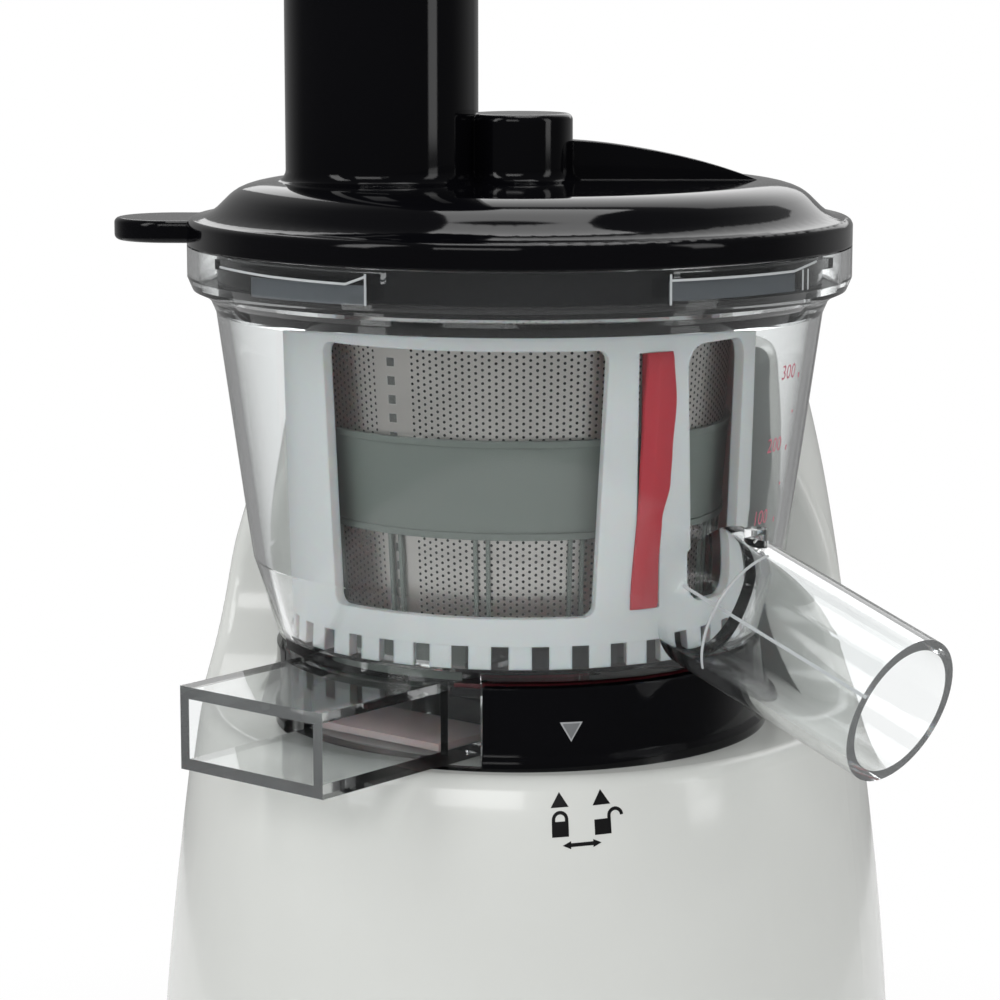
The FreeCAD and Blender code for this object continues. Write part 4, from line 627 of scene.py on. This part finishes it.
class Look:
    """The set of finishes, each built once."""

    def __init__(self) -> None:
        """Build every finish."""
        finishes = (
            Finish(
                "housing", paint(230, 232, 228), 0.22,
                coat=0.3, grain=Grain.POLISHED, shift=0.012, edge=0.0007,
            ),
            Finish(
                "black_gloss", paint(8, 8, 11), 0.06,
                grain=Grain.POLISHED, shift=0.1, ior=1.33, edge=0.0006,
            ),
            ClearPlastic("clear"),
            Finish(
                "milky", paint(226, 230, 231), 0.3,
                coat=0.1, shift=0.02, subsurface=0.25, edge=0.0007,
            ),
            PerforatedSteel("strainer"),
            Finish("grey", paint(112, 120, 115), 0.34, shift=0.04, edge=0.0003),
            Finish("red", paint(196, 42, 58), 0.42, grain=Grain.SOFT, subsurface=0.1, edge=0.0002),
            Finish("dark_red", paint(96, 18, 28), 0.5, grain=Grain.SOFT),
            Finish("pale_silicone", paint(204, 186, 186), 0.4, grain=Grain.SOFT, subsurface=0.3),
            Finish("black_rubber", paint(17, 17, 18), 0.6, grain=Grain.SOFT, shift=0.15),
            Finish("black_satin", paint(18, 18, 20), 0.4, grain=Grain.SPARK, shift=0.12, edge=0.0004),
            Finish("steel", paint(190, 191, 194), 0.26, metallic=1.0, grain=Grain.BRUSHED),
            Finish("can", paint(150, 153, 158), 0.38, metallic=1.0, grain=Grain.BRUSHED),
            Finish("cast", paint(160, 162, 165), 0.5, metallic=1.0, grain=Grain.CAST),
            Finish("iron", paint(70, 66, 62), 0.5, metallic=0.8, grain=Grain.BRUSHED),
            Finish("brass", paint(190, 160, 95), 0.3, metallic=1.0, grain=Grain.BRUSHED),
            Finish("nylon", paint(216, 214, 200), 0.45, subsurface=0.1),
            Finish("board", paint(34, 86, 48), 0.35, grain=Grain.SPARK, shift=0.15),
            Finish("print_black", paint(14, 14, 15), 0.35, shift=0.1),
            Finish("print_grey", paint(118, 120, 122), 0.35),
            Finish("print_pale", paint(176, 178, 180), 0.35),
            Finish("print_red", paint(214, 120, 136), 0.4),
            # Pale opaque paint on the clear moulded ridges: painted highlight.
            Finish("painted_highlight_ridge", paint(196, 200, 202), 0.25, coat=0.3, shift=0.06),
            Finish("frosted_slot", paint(84, 89, 94), 0.45, shift=0.08),
        )
        self.materials = {finish.name: finish.material() for finish in finishes}

    def __getitem__(self, name: str) -> bpy.types.Material:
        """The material of a finish."""
        return self.materials[name]


# ------------------------------------------------------------------ making pieces


class Skin:
    """The outside of some solids, for pieces that lie on it."""

    def __init__(self, *nodes: str) -> None:
        """Gather the solids' faces into one search tree.

        Args:
            nodes: Names of the solids.
        """
        corners: list[Vector] = []
        faces: list[list[int]] = []
        for name in nodes:
            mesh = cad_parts[name].data
            start = len(corners)
            corners += [corner.co.copy() for corner in mesh.vertices]
            faces += [[start + index for index in face.vertices] for face in mesh.polygons]
        self.tree = BVHTree.FromPolygons(corners, faces)

    def cast(self, start: Vector, direction: Vector, lift: float) -> Vector:
        """Drop a point on the skin.

        Args:
            start: Where the point comes from, in metres.
            direction: Which way it goes.
            lift: How far it stays above the skin, in millimetres.

        Returns:
            The point just above the skin.
        """
        place, normal, _, _ = self.tree.ray_cast(start, direction)
        if place is None:
            raise ValueError("a mark misses the solid that carries it")
        if normal.dot(direction) > 0:
            normal = -normal
        return place + normal * lift * MM

    def round_axis(self, azimuth: float, level: float, lift: float) -> Vector:
        """Drop a point from outside towards the bowl's axis.

        Args:
            azimuth: Degrees round the axis.
            level: Height in millimetres.
            lift: How far it stays above the skin, in millimetres.

        Returns:
            The point just above the skin.
        """
        outside = polar(CLEAR_OF_ALL, azimuth, level)
        return self.cast(outside, polar(0, 0, level) - outside, lift)


def rounded(name: str, mesh: bmesh.types.BMesh) -> bpy.types.Object:
    """Turn a bmesh into an object that is smooth but for its sharp edges.

    Args:
        name: The object's name.
        mesh: The faces; freed here.

    Returns:
        The object, in the scene.
    """
    bmesh.ops.recalc_face_normals(mesh, faces=mesh.faces)
    data = bpy.data.meshes.new(name)
    mesh.to_mesh(data)
    mesh.free()
    data.shade_smooth()
    data.set_sharp_from_angle(angle=math.radians(SHARP_ANGLE))
    piece = bpy.data.objects.new(name, data)
    bpy.context.scene.collection.objects.link(piece)
    return piece


def tube_of_loops(name: str, loops: Sequence[Sequence[Vector]]) -> bpy.types.Object:
    """Join equal loops of points into one skin with closed ends.

    Args:
        name: The object's name.
        loops: The loops from end to end, each with as many points.

    Returns:
        The object.
    """
    mesh = bmesh.new()
    rows = [[mesh.verts.new(point) for point in loop] for loop in loops]
    for low, high in zip(rows, rows[1:]):
        for i in range(len(low)):
            j = (i + 1) % len(low)
            mesh.faces.new((low[i], low[j], high[j], high[i]))
    mesh.faces.new(rows[0])
    mesh.faces.new(list(reversed(rows[-1])))
    return rounded(name, mesh)


def ridge(
    name: str, path: Sequence[Vector], outward: Sequence[Vector], wide: float, tall: float,
) -> bpy.types.Object:
    """A low moulded ridge with a rounded crest along a path on a wall.

    Args:
        name: The object's name.
        path: Points on the wall, in metres.
        outward: The wall's outward direction at each point.
        wide: Width of its foot, in millimetres.
        tall: Height of its crest, in millimetres.

    Returns:
        The object.
    """
    loops = []
    for i, point in enumerate(path):
        along = (path[min(i + 1, len(path) - 1)] - path[max(i - 1, 0)]).normalized()
        out = outward[i].normalized()
        side = along.cross(out).normalized()
        loops.append([
            point + side * (across * wide * MM) + out * (rise * tall * MM) for across, rise in RIDGE_SECTION
        ])
    return tube_of_loops(name, loops)


def stroke(path: Sequence[Flat], wide: float) -> list[list[Flat]]:
    """Outline a line of even width as a row of four-sided patches.

    Args:
        path: The line's points.
        wide: Its width.

    Returns:
        The patches.
    """
    sides = []
    for i, (x, y) in enumerate(path):
        before, after = path[max(i - 1, 0)], path[min(i + 1, len(path) - 1)]
        dx, dy = after[0] - before[0], after[1] - before[1]
        size = math.hypot(dx, dy) or 1.0
        nx, ny = -dy / size * wide / 2, dx / size * wide / 2
        sides.append(((x + nx, y + ny), (x - nx, y - ny)))
    return [[a[0], a[1], b[1], b[0]] for a, b in zip(sides, sides[1:])]


def arc(centre: Flat, radius: float, start: float, end: float, steps: int = 12) -> list[Flat]:
    """Points along an arc.

    Args:
        centre: Its middle.
        radius: Its radius.
        start: First angle in degrees.
        end: Last angle in degrees.
        steps: How many runs it has.

    Returns:
        The points.
    """
    angles = [math.radians(start + (end - start) * i / steps) for i in range(steps + 1)]
    return [(centre[0] + radius * math.cos(a), centre[1] + radius * math.sin(a)) for a in angles]


@dataclass
class Print:
    """Ink on a curved skin, drawn in millimetres across and up from a middle.

    Edges longer than the finest are cut up, a few times over, so that the film follows the skin.
    """

    skin: Skin
    azimuth: float
    level: float
    radius: float
    lift: float = 0.05
    tilt: float = 0.0
    finest: float = 0.9
    cuts: int = 4

    def set_down(self, across: float, up: float) -> Vector:
        """Put one point of the drawing on the skin.

        Args:
            across: Millimetres to the right of the middle, as seen from outside.
            up: Millimetres above it.

        Returns:
            The point in metres.
        """
        azimuth = self.azimuth + math.degrees(across / self.radius)
        return self.skin.round_axis(azimuth, self.level + up + across * self.tilt, self.lift)

    def shapes(self, name: str, outlines: Sequence[Sequence[Flat]]) -> bpy.types.Object:
        """Print filled outlines.

        Args:
            name: The object's name.
            outlines: Closed outlines of across and up.

        Returns:
            The printed film.
        """
        mesh = bmesh.new()
        for outline in outlines:
            mesh.faces.new([mesh.verts.new((x, y, 0)) for x, y in outline])
        bmesh.ops.triangulate(mesh, faces=mesh.faces)
        for _ in range(self.cuts):
            long = [edge for edge in mesh.edges if edge.calc_length() > self.finest]
            if not long:
                break
            bmesh.ops.subdivide_edges(mesh, edges=long, cuts=1)
            bmesh.ops.triangulate(mesh, faces=mesh.faces)
        return self.lay(name, mesh)

    def number(self, name: str, text: str, tall: float) -> bpy.types.Object:
        """Print plain digits, centred.

        Args:
            name: The object's name.
            text: The digits.
            tall: Size of the type, in millimetres.

        Returns:
            The printed film.
        """
        curve = bpy.data.curves.new(name + "_type", "FONT")
        curve.body = text
        curve.size = tall
        curve.align_x = "CENTER"
        curve.align_y = "CENTER"
        curve.resolution_u = 3
        type_object = bpy.data.objects.new(name + "_type", curve)
        mesh = bmesh.new()
        flat = bpy.data.meshes.new_from_object(type_object)
        mesh.from_mesh(flat)
        bpy.data.meshes.remove(flat)
        bpy.data.objects.remove(type_object)
        bpy.data.curves.remove(curve)
        return self.lay(name, mesh)

    def lay(self, name: str, mesh: bmesh.types.BMesh) -> bpy.types.Object:
        """Wrap a flat drawing onto the skin.

        Args:
            name: The object's name.
            mesh: The drawing; freed here.

        Returns:
            The printed film.
        """
        for vert in mesh.verts:
            vert.co = self.set_down(vert.co.x, vert.co.y)
        return rounded(name, mesh)


# ------------------------------------------------------------------ sub-assemblies


@dataclass
class Assembly:
    """A group of solids and fine pieces that belong together."""

    look: Look
    finishes: ClassVar[dict[str, tuple[str, ...]]] = {}

    def dress(self) -> None:
        """Give every carried-over solid of the group its finish."""
        for finish, names in self.finishes.items():
            for name in names:
                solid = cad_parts[name]
                solid.data.materials.clear()
                solid.data.materials.append(self.look[finish])
                log.info("%s: %s", name, finish)

    def fit(self, piece: bpy.types.Object, finish: str, body: str, slot: str, *replaced: str) -> None:
        """Dress a new piece, hang it on its body and report it.

        Args:
            piece: The new piece.
            finish: Name of its finish.
            body: The body that it rides on.
            slot: The record's material slot; not used.
            replaced: Solids that it stands for.
        """
        piece.data.materials.clear()
        piece.data.materials.append(self.look[finish])
        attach(piece, body)
        if replaced:
            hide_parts(*replaced)
        log.info("%s: %s, on %s", piece.name, finish, body)

    def build(self) -> None:
        """Build and dress the whole group."""
        self.dress()


@dataclass
class Housing(Assembly):
    """White housing with its cover, feet and switch, and the lock marks printed on its front."""

    finishes: ClassVar[dict[str, tuple[str, ...]]] = {
        "housing": ("housing_shell",),
        "black_satin": ("bottom_cover", "switch_bezel", "rocker_switch", "cord_gland"),
        "black_rubber": ("rubber_foot_1", "rubber_foot_2", "rubber_foot_3", "rubber_foot_4"),
        "steel": ("cover_screws",),
    }
    mark_radius: float = 65.5
    locked_at: Flat = (12.68, 169.3)
    open_at: Flat = (20.65, 169.6)
    padlock_width: float = 3.55
    padlock_height: float = 3.2
    pointer_width: float = 3.9
    pointer_height: float = 3.1
    pointer_gap: float = 2.9
    shackle_radius: float = 1.4
    shackle_leg: float = 0.45
    shackle_sink: float = 0.2
    shackle_inset: float = 0.35
    shackle_wide: float = 0.72
    arrow_at: Flat = (16.65, 164.5)
    arrow_half: float = 4.1
    arrow_head: float = 1.75
    arrow_head_half: float = 0.85
    arrow_wide: float = 0.8
    mark_tilt: float = 0.055
    rocker_mark: float = 5.0
    rocker_mark_share: float = 0.25
    rocker_ring: float = 0.32
    rocker_ring_wide: float = 0.7
    rocker_line: float = 0.4
    rocker_line_wide: float = 0.8
    film_lift: float = 0.05
    film_start: float = 50.0

    def pointer(self) -> list[Flat]:
        """A triangle that points up, above the padlock."""
        half, foot = self.pointer_width / 2, self.pointer_gap
        return [(-half, foot), (half, foot), (0, foot + self.pointer_height)]

    def padlock_body(self) -> list[Flat]:
        """The padlock's body."""
        half = self.padlock_width / 2
        return [(-half, -self.padlock_height), (half, -self.padlock_height), (half, 0), (-half, 0)]

    def shackle(self, middle: float, closed: bool) -> list[list[Flat]]:
        """The padlock's shackle.

        Args:
            middle: Place of its middle across the mark.
            closed: Whether its right leg reaches the body.

        Returns:
            Its patches.
        """
        bow = arc((middle, self.shackle_leg), self.shackle_radius, 180, 0)
        path = [(middle - self.shackle_radius, -self.shackle_sink), *bow]
        if closed:
            path.append((middle + self.shackle_radius, -self.shackle_sink))
        return stroke(path, self.shackle_wide)

    def arrow(self) -> list[list[Flat]]:
        """Draw an arrow with a head at each end.

        Returns:
            Its patches.
        """
        neck = self.arrow_half - self.arrow_head
        half = self.arrow_head_half
        heads = [[(s * self.arrow_half, 0), (s * neck, s * half), (s * neck, -s * half)] for s in (-1, 1)]
        return [*stroke([(-neck, 0), (0, 0), (neck, 0)], self.arrow_wide), *heads]

    def marks(self) -> None:
        """Print the locked and open positions and the arrow between them."""
        skin = Skin("housing_shell")
        locked = Print(skin, *self.locked_at, self.mark_radius, tilt=self.mark_tilt)
        opened = Print(skin, *self.open_at, self.mark_radius, tilt=self.mark_tilt)
        between = Print(skin, *self.arrow_at, self.mark_radius, tilt=self.mark_tilt)
        swung = self.padlock_width / 2 + self.shackle_radius - self.shackle_inset
        padlock = [self.pointer(), self.padlock_body()]
        films = (
            locked.shapes("mark_locked", [*padlock, *self.shackle(0, True)]),
            opened.shapes("mark_open", [*padlock, *self.shackle(swung, False)]),
            between.shapes("mark_turn_arrow", self.arrow()),
        )
        for film in films:
            self.fit(film, "print_black", "base", "housing")

    def switch_marks(self) -> None:
        """Print the line and the ring on the rocker, each a share of its height from its middle."""
        low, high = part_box("rocker_switch")
        middle = (low + high) / 2
        skin = Skin("rocker_switch")
        forward = Vector((0, -1, 0))
        outside = high.y + self.film_start * MM
        half = self.rocker_mark * self.rocker_line
        ring = stroke(arc((0, 0), self.rocker_mark * self.rocker_ring, 0, 360, 20), self.rocker_ring_wide)
        line = stroke([(0, -half), (0, 0), (0, half)], self.rocker_line_wide)
        share = self.rocker_mark_share
        for name, patches, place in (("mark_off", ring, -share), ("mark_on", line, share)):
            mesh = bmesh.new()
            up = middle.z + place * (high.z - low.z)
            for patch in patches:
                points = [Vector((middle.x - x * MM, outside, up + y * MM)) for x, y in patch]
                mesh.faces.new([
                    mesh.verts.new(skin.cast(point, forward, self.film_lift)) for point in points
                ])
            self.fit(rounded(name, mesh), "print_pale", "rocker", "switch")

    def build(self) -> None:
        """Build and dress the housing."""
        self.dress()
        self.marks()
        self.switch_marks()


@dataclass
class Drive(Assembly):
    """Motor, gear train and board inside the housing, and the seat on its deck."""

    finishes: ClassVar[dict[str, tuple[str, ...]]] = {
        "can": ("motor_can",),
        "steel": ("motor_bearing_low", "motor_bearing_high", "rotor_shaft", "lay_shaft", "output_shaft",
                  "output_bearing", "gearbox_screws", "seat_screws"),
        "iron": ("motor_stator", "rotor_core"),
        "brass": ("motor_pinion", "lay_pinion", "deck_bush"),
        "nylon": ("lay_wheel", "output_wheel"),
        "cast": ("gearbox_case", "gearbox_cover"),
        "board": ("control_board",),
        "black_satin": ("seat_ring", "motor_fan"),
        "black_rubber": ("shaft_seal",),
    }


@dataclass
class Bowl(Assembly):
    """Clear bowl with its black foot, its printed scale and the moulded lines of its rim and spout, whose
    pale colour is a painted highlight.
    """

    finishes: ClassVar[dict[str, tuple[str, ...]]] = {
        "clear": ("bowl",),
        "black_gloss": ("bowl_foot_ring",),
        "dark_red": ("foot_gasket",),
        "pale_silicone": ("pulp_gate",),
        "red": ("shaft_ring",),
    }
    scale_azimuth: float = 65.8
    scale_radius: float = 66.0
    tick_azimuth: float = 71.0
    scale_levels: tuple[float, ...] = (261.5, 253.5, 245.5, 237.5, 229.5)
    scale_top: int = 300
    scale_step: int = 50
    type_size: float = 4.6
    type_shift: float = 0.9
    tick_shift: float = 0.6
    tick_drop: float = 1.2
    tick_half: float = 0.35
    tick_long: float = 1.1
    tick_short: float = 0.6
    rim_radius: float = 75.0
    rim_wide: float = 0.55
    rim_tall: float = 0.16
    rim_run: float = 2.0
    rim_ridges: tuple[tuple[str, tuple[Flat, ...]], ...] = (
        ("left_shelf", ((-54.1, 284.9), (-40.0, 284.3), (-23.7, 283.9), (-20.1, 285.6))),
        ("left_stop", ((-20.1, 286.2), (-20.1, 283.0), (-20.1, 279.6))),
        ("right_stop", ((29.6, 286.2), (29.6, 283.0), (29.6, 279.8))),
        ("right_shelf", ((29.6, 284.9), (44.0, 284.9), (56.0, 284.9), (63.0, 286.3))),
        ("right_rib_1", ((58.6, 285.0), (58.6, 283.0), (58.6, 280.6))),
        ("right_rib_2", ((60.2, 285.0), (60.2, 283.0), (60.2, 280.6))),
    )
    slot_radius: float = 72.35
    slot_runs: int = 14
    slots: tuple[tuple[str, float, float, float, float], ...] = (
        ("slot_face_left", -46.0, -20.6, 279.8, 283.6),
        ("slot_face_right", 30.0, 58.0, 280.4, 284.6),
    )
    juice: JuiceSpout = JuiceSpout()
    ring_place: float = 26.0
    ring_turns: tuple[int, int, int] = (8, 128, 6)
    ring_wide: float = 0.8
    ring_tall: float = 0.22
    line_turn: float = 68.0
    line_start: float = 15.0
    line_margin: float = 1.0
    line_wide: float = 0.7
    line_tall: float = 0.3
    line_runs: int = 12
    pointer_azimuth: float = 16.6
    pointer_level: float = 188.6
    pointer_width: float = 5.0
    pointer_height: float = 4.35
    pointer_edge: float = 0.32
    foot_radius: float = 55.8

    def scale(self) -> None:
        """Print the ticks and numbers of the scale."""
        skin = Skin("bowl")
        for i, level in enumerate(self.scale_levels):
            numbered = i % 2 == 0
            azimuth = self.tick_azimuth - self.tick_shift * i
            tick = Print(skin, azimuth, level - self.tick_drop, self.scale_radius)
            path = [(-self.tick_half, 0), (0, 0), (self.tick_half, 0)]
            wide = self.tick_long if numbered else self.tick_short
            self.fit(tick.shapes(f"scale_tick_{i + 1}", stroke(path, wide)), "print_red", "bowl", "clear")
            if numbered:
                place = Print(skin, self.scale_azimuth - self.type_shift * i, level, self.scale_radius)
                digits = str(self.scale_top - self.scale_step * i)
                number = place.number(f"scale_number_{i // 2 + 1}", digits, self.type_size)
                self.fit(number, "print_red", "bowl", "clear")

    def moulded(
        self, name: str, path: Sequence[Vector], outward: Sequence[Vector], wide: float, tall: float,
    ) -> None:
        """Add a moulded ridge to the clear wall, painted pale and opaque as a painted highlight.

        Args:
            name: The piece's name.
            path: Points on the wall, in metres.
            outward: The wall's outward direction at each point.
            wide: Width of its foot, in millimetres.
            tall: Height of its crest, in millimetres.
        """
        self.fit(ridge(name, path, outward, wide, tall), "painted_highlight_ridge", "bowl", "clear")

    def rim_lines(self) -> None:
        """Moulded ridges round the slots in the rim."""
        for name, corners in self.rim_ridges:
            path, outward = [], []
            for (a, low), (b, high) in zip(corners, corners[1:]):
                steps = max(2, int(abs(b - a) / self.rim_run))
                for i in range(steps):
                    share = i / steps
                    azimuth = a + (b - a) * share
                    path.append(polar(self.rim_radius, azimuth, low + (high - low) * share))
                    outward.append(polar(1, azimuth, 0))
            path.append(polar(self.rim_radius, *corners[-1]))
            outward.append(polar(1, corners[-1][0], 0))
            self.moulded("rim_" + name, path, outward, self.rim_wide, self.rim_tall)

    def slot_faces(self) -> None:
        """Frosted faces of the slots behind the rim's clear wall."""
        for name, start, end, low, high in self.slots:
            mesh = bmesh.new()
            rows = []
            for i in range(self.slot_runs + 1):
                azimuth = start + (end - start) * i / self.slot_runs
                ends = (polar(self.slot_radius, azimuth, level) for level in (low, high))
                rows.append([mesh.verts.new(end) for end in ends])
            for a, b in zip(rows, rows[1:]):
                mesh.faces.new((a[0], b[0], b[1], a[1]))
            self.fit(rounded(name, mesh), "frosted_slot", "bowl", "clear")

    def spout_lines(self) -> None:
        """The moulded ring under the peg and the parting line inside the spout."""
        juice = self.juice
        around = [juice.point(self.ring_place, turn, juice.radius) for turn in range(*self.ring_turns)]
        path, outward = zip(*around)
        self.moulded("spout_ring", path, outward, self.ring_wide, self.ring_tall)
        inside = juice.radius - juice.wall
        long = juice.length - self.line_margin - self.line_start
        inner = [
            juice.point(self.line_start + long * i / self.line_runs, self.line_turn, inside)
            for i in range(self.line_runs + 1)
        ]
        path, outward = zip(*inner)
        self.moulded("spout_line", path, [-out for out in outward], self.line_wide, self.line_tall)

    def foot_pointer(self) -> None:
        """Print the pointer on the black foot: a pale edge under a grey triangle."""
        skin = Skin("bowl_foot_ring")
        for name, finish, inset, lift in (
            ("foot_pointer_edge", "print_pale", 0.0, 0.04),
            ("foot_pointer", "print_grey", self.pointer_edge, 0.08),
        ):
            half = self.pointer_width / 2 - inset * 1.7
            tip = -self.pointer_height + inset * 1.9
            mark = Print(skin, self.pointer_azimuth, self.pointer_level, self.foot_radius, lift)
            film = mark.shapes(name, [[(-half, -inset), (0, tip), (half, -inset)]])
            self.fit(film, finish, "bowl", "foot_ring")

    def build(self) -> None:
        """Build and dress the bowl."""
        self.dress()
        self.scale()
        self.rim_lines()
        self.slot_faces()
        self.spout_lines()
        self.foot_pointer()


@dataclass
class Filter(Assembly):
    """Strainer, turning cage, its gears and its two soft wipers with wavy edges."""

    finishes: ClassVar[dict[str, tuple[str, ...]]] = {
        "milky": ("brush_cage", "sun_gear", "idler_gear"),
        "steel": ("idler_pin", "drive_socket"),
        "strainer": ("strainer_mesh",),
        "grey": ("strainer_frame", "strainer_rim"),
        "black_satin": ("auger",),
    }
    cone_low: Flat = (204.8, 52.3)
    cone_high: Flat = (273.1, 53.8)
    left_edge: tuple[Flat, ...] = ((211.9, 31.7), (240.0, 33.6), (253.0, 34.2), (267.5, 35.1))
    right_edge: tuple[Flat, ...] = (
        (211.9, 39.2), (222.0, 39.2), (230.7, 39.9), (239.3, 42.2),
        (246.0, 42.6), (256.6, 43.5), (267.5, 42.5),
    )
    ridge_share: float = 0.36
    ridge_tall: float = 1.35
    end_share: float = 0.35
    end_reach: float = 1.2
    web: Flat = (35.42, 37.58)
    web_depth: float = 2.1
    levels: int = 44

    def cone(self, level: float) -> float:
        """Radius of the cage's outside at a level."""
        (low, first), (high, last) = self.cone_low, self.cone_high
        return first + (last - first) * (level - low) / (high - low)

    def wiper(self, name: str, turn: float) -> None:
        """Build one wiper: a ridged pad outside the cage with a web through it.

        Args:
            name: The solid that it stands for.
            turn: Degrees round the axis from the first wiper.
        """
        loops = []
        bottom, top = self.left_edge[0][0], self.left_edge[-1][0]
        for i in range(self.levels + 1):
            level = bottom + (top - bottom) * i / self.levels
            end = min(1.0, min(level - bottom, top - level) / self.end_reach)
            full = min(1.0, self.end_share + (1 - self.end_share) * math.sqrt(end))
            left, right = eased(self.left_edge, level), eased(self.right_edge, level)
            crest = left + (right - left) * self.ridge_share
            tall = self.ridge_tall * full
            section = (
                (left, 0.05), (left + 0.25, tall * 0.45),
                (crest - 0.5, tall * 0.93), (crest, tall), (crest + 0.6, tall * 0.95),
                (right - 0.7, tall * 0.62), (right - 0.1, tall * 0.4), (right, 0.05),
                (self.web[1], 0.02), (self.web[1], -self.web_depth),
                (self.web[0], -self.web_depth), (self.web[0], 0.02),
            )
            base = self.cone(level)
            loops.append([polar(base + rise, azimuth + turn, level) for azimuth, rise in section])
        self.fit(tube_of_loops(f"soft_{name}", loops), "red", "cage", "wipers", name)

    def build(self) -> None:
        """Build and dress the filter."""
        self.dress()
        self.wiper("wiper_1", 0.0)
        self.wiper("wiper_2", 180.0)


@dataclass
class Lid(Assembly):
    """Black lid with its feed tube, the pusher in it and their seals."""

    finishes: ClassVar[dict[str, tuple[str, ...]]] = {
        "black_gloss": ("lid", "pusher"),
        "black_rubber": ("lid_gasket", "grip_ring"),
        "brass": ("lid_bushing",),
    }


# ------------------------------------------------------------------ studio


@dataclass(frozen=True)
class Lamp:
    """A soft rectangular lamp: its place and its two sides in metres, its power in watts."""

    name: str
    at: Point
    size: Flat
    watts: float

    def hang(self, target: Vector) -> None:
        """Add the lamp to the scene.

        Args:
            target: The point that it faces.
        """
        data = bpy.data.lights.new(self.name, "AREA")
        data.shape = "RECTANGLE"
        data.size, data.size_y = self.size
        data.energy = self.watts
        lamp = bpy.data.objects.new(self.name, data)
        bpy.context.scene.collection.objects.link(lamp)
        lamp.location = self.at
        lamp.rotation_mode = "QUATERNION"
        lamp.rotation_quaternion = (target - Vector(self.at)).to_track_quat("-Z", "Y")


@dataclass
class Studio:
    """Floor, lamps, world and camera."""

    camera_at: Point = (0.06404, -0.73196, 0.34945)
    forward: Point = (-0.09188, 0.98229, -0.16327)
    lens: float = 116.9
    middle: Point = (0.0, 0.02, 0.25)
    glow: float = 0.42
    front_gloss: float = 0.1
    back_gloss: float = 0.3
    inner_gloss: float = 0.3
    floor_radius: float = 0.62
    floor_depth: float = 0.0002
    floor_grey: float = 0.82
    floor_white: float = 0.55
    floor_gloss: float = 0.25
    shadow_reach: Flat = (0.13, 0.42)
    lamps: tuple[Lamp, ...] = (
        Lamp("key", (-0.95, -0.75, 0.95), (0.3, 1.1), 5.0),
        Lamp("fill", (1.2, -0.45, 0.7), (0.3, 1.0), 2.7),
        Lamp("rear", (0.1, 1.2, 1.0), (1.2, 1.2), 5.0),
        Lamp("top", (0.0, 0.2, 1.4), (0.6, 0.6), 5.0),
        Lamp("front", (-0.3, -1.7, 1.1), (0.9, 0.5), 7.0),
    )

    def camera(self) -> None:
        """Place the camera."""
        data = bpy.data.cameras.new("camera")
        data.lens = self.lens
        data.sensor_width = 36
        data.clip_start = 0.05
        camera = bpy.data.objects.new("camera", data)
        bpy.context.scene.collection.objects.link(camera)
        camera.location = self.camera_at
        camera.rotation_mode = "QUATERNION"
        camera.rotation_quaternion = Vector(self.forward).to_track_quat("-Z", "Y")
        bpy.context.scene.camera = camera

    def world(self) -> None:
        """White to the eye and through clear plastic; gloss sees white behind and dark in front."""
        tree = Tree(bpy.data.worlds.new("studio"))
        bpy.context.scene.world = tree.owner
        seen, glossy, through, mirrors = tree.rays(
            "Is Camera Ray", "Is Glossy Ray", "Is Transmission Ray", "Glossy Depth",
        )
        mirrored = mirrors > 0.5
        _, y, z = tree.parts(tree.add("ShaderNodeTexCoord", output="Generated"))
        rise = self.back_gloss - self.front_gloss
        backdrop = (y - 0.2 * abs(z)).smooth(0.1, 0.75) * rise + self.front_gloss
        gloss = glossy * (1 - through)
        inner = through * mirrored
        level = gloss * backdrop + inner * self.inner_gloss + self.glow * (1 - gloss - inner)
        white = seen | through * (1 - mirrored) | level
        light = tree.add("ShaderNodeBackground", inputs={"Color": (1.0, 1.0, 1.0), "Strength": white})
        tree.finish(light, "ShaderNodeOutputWorld")

    def floor(self) -> None:
        """A plain pale floor that fades into the white behind and keeps the object's shadow."""
        bpy.ops.mesh.primitive_circle_add(
            vertices=96, radius=self.floor_radius, fill_type="NGON", location=(0, 0, -self.floor_depth),
        )
        floor = bpy.context.object
        floor.name = "floor"
        tree = Tree.material("pale_floor")
        straight, through, gloss = tree.rays("Is Camera Ray", "Is Transmission Ray", "Is Glossy Ray")
        seen = straight | through
        x, y, _ = tree.place()
        away = (x.squared() + y.squared()).root()
        near = self.floor_white
        share = seen * (near + (1 - near) * away.smooth(*self.shadow_reach)) | gloss * self.floor_gloss
        matte = tree.add("ShaderNodeBsdfDiffuse", inputs={"Color": (self.floor_grey,) * 3})
        white = tree.add("ShaderNodeEmission", inputs={"Color": (1.0, 1.0, 1.0), "Strength": 1.0})
        mixed = tree.add("ShaderNodeMixShader", inputs={0: share, 1: matte, 2: white})
        floor.data.materials.append(tree.finish(mixed))

    def set_up(self) -> None:
        """Build the whole studio."""
        self.camera()
        self.world()
        self.floor()
        for lamp in self.lamps:
            lamp.hang(Vector(self.middle))
        bpy.context.scene.view_settings.view_transform = "Standard"
        log.info("studio ready")


def main() -> None:
    """Build the looks in order."""
    logging.basicConfig(level=logging.INFO, format="%(message)s")
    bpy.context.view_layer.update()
    look = Look()
    for group in (Housing(look), Drive(look), Bowl(look), Filter(look), Lid(look)):
        group.build()
    Studio().set_up()


if __name__ == "__main__":
    main()
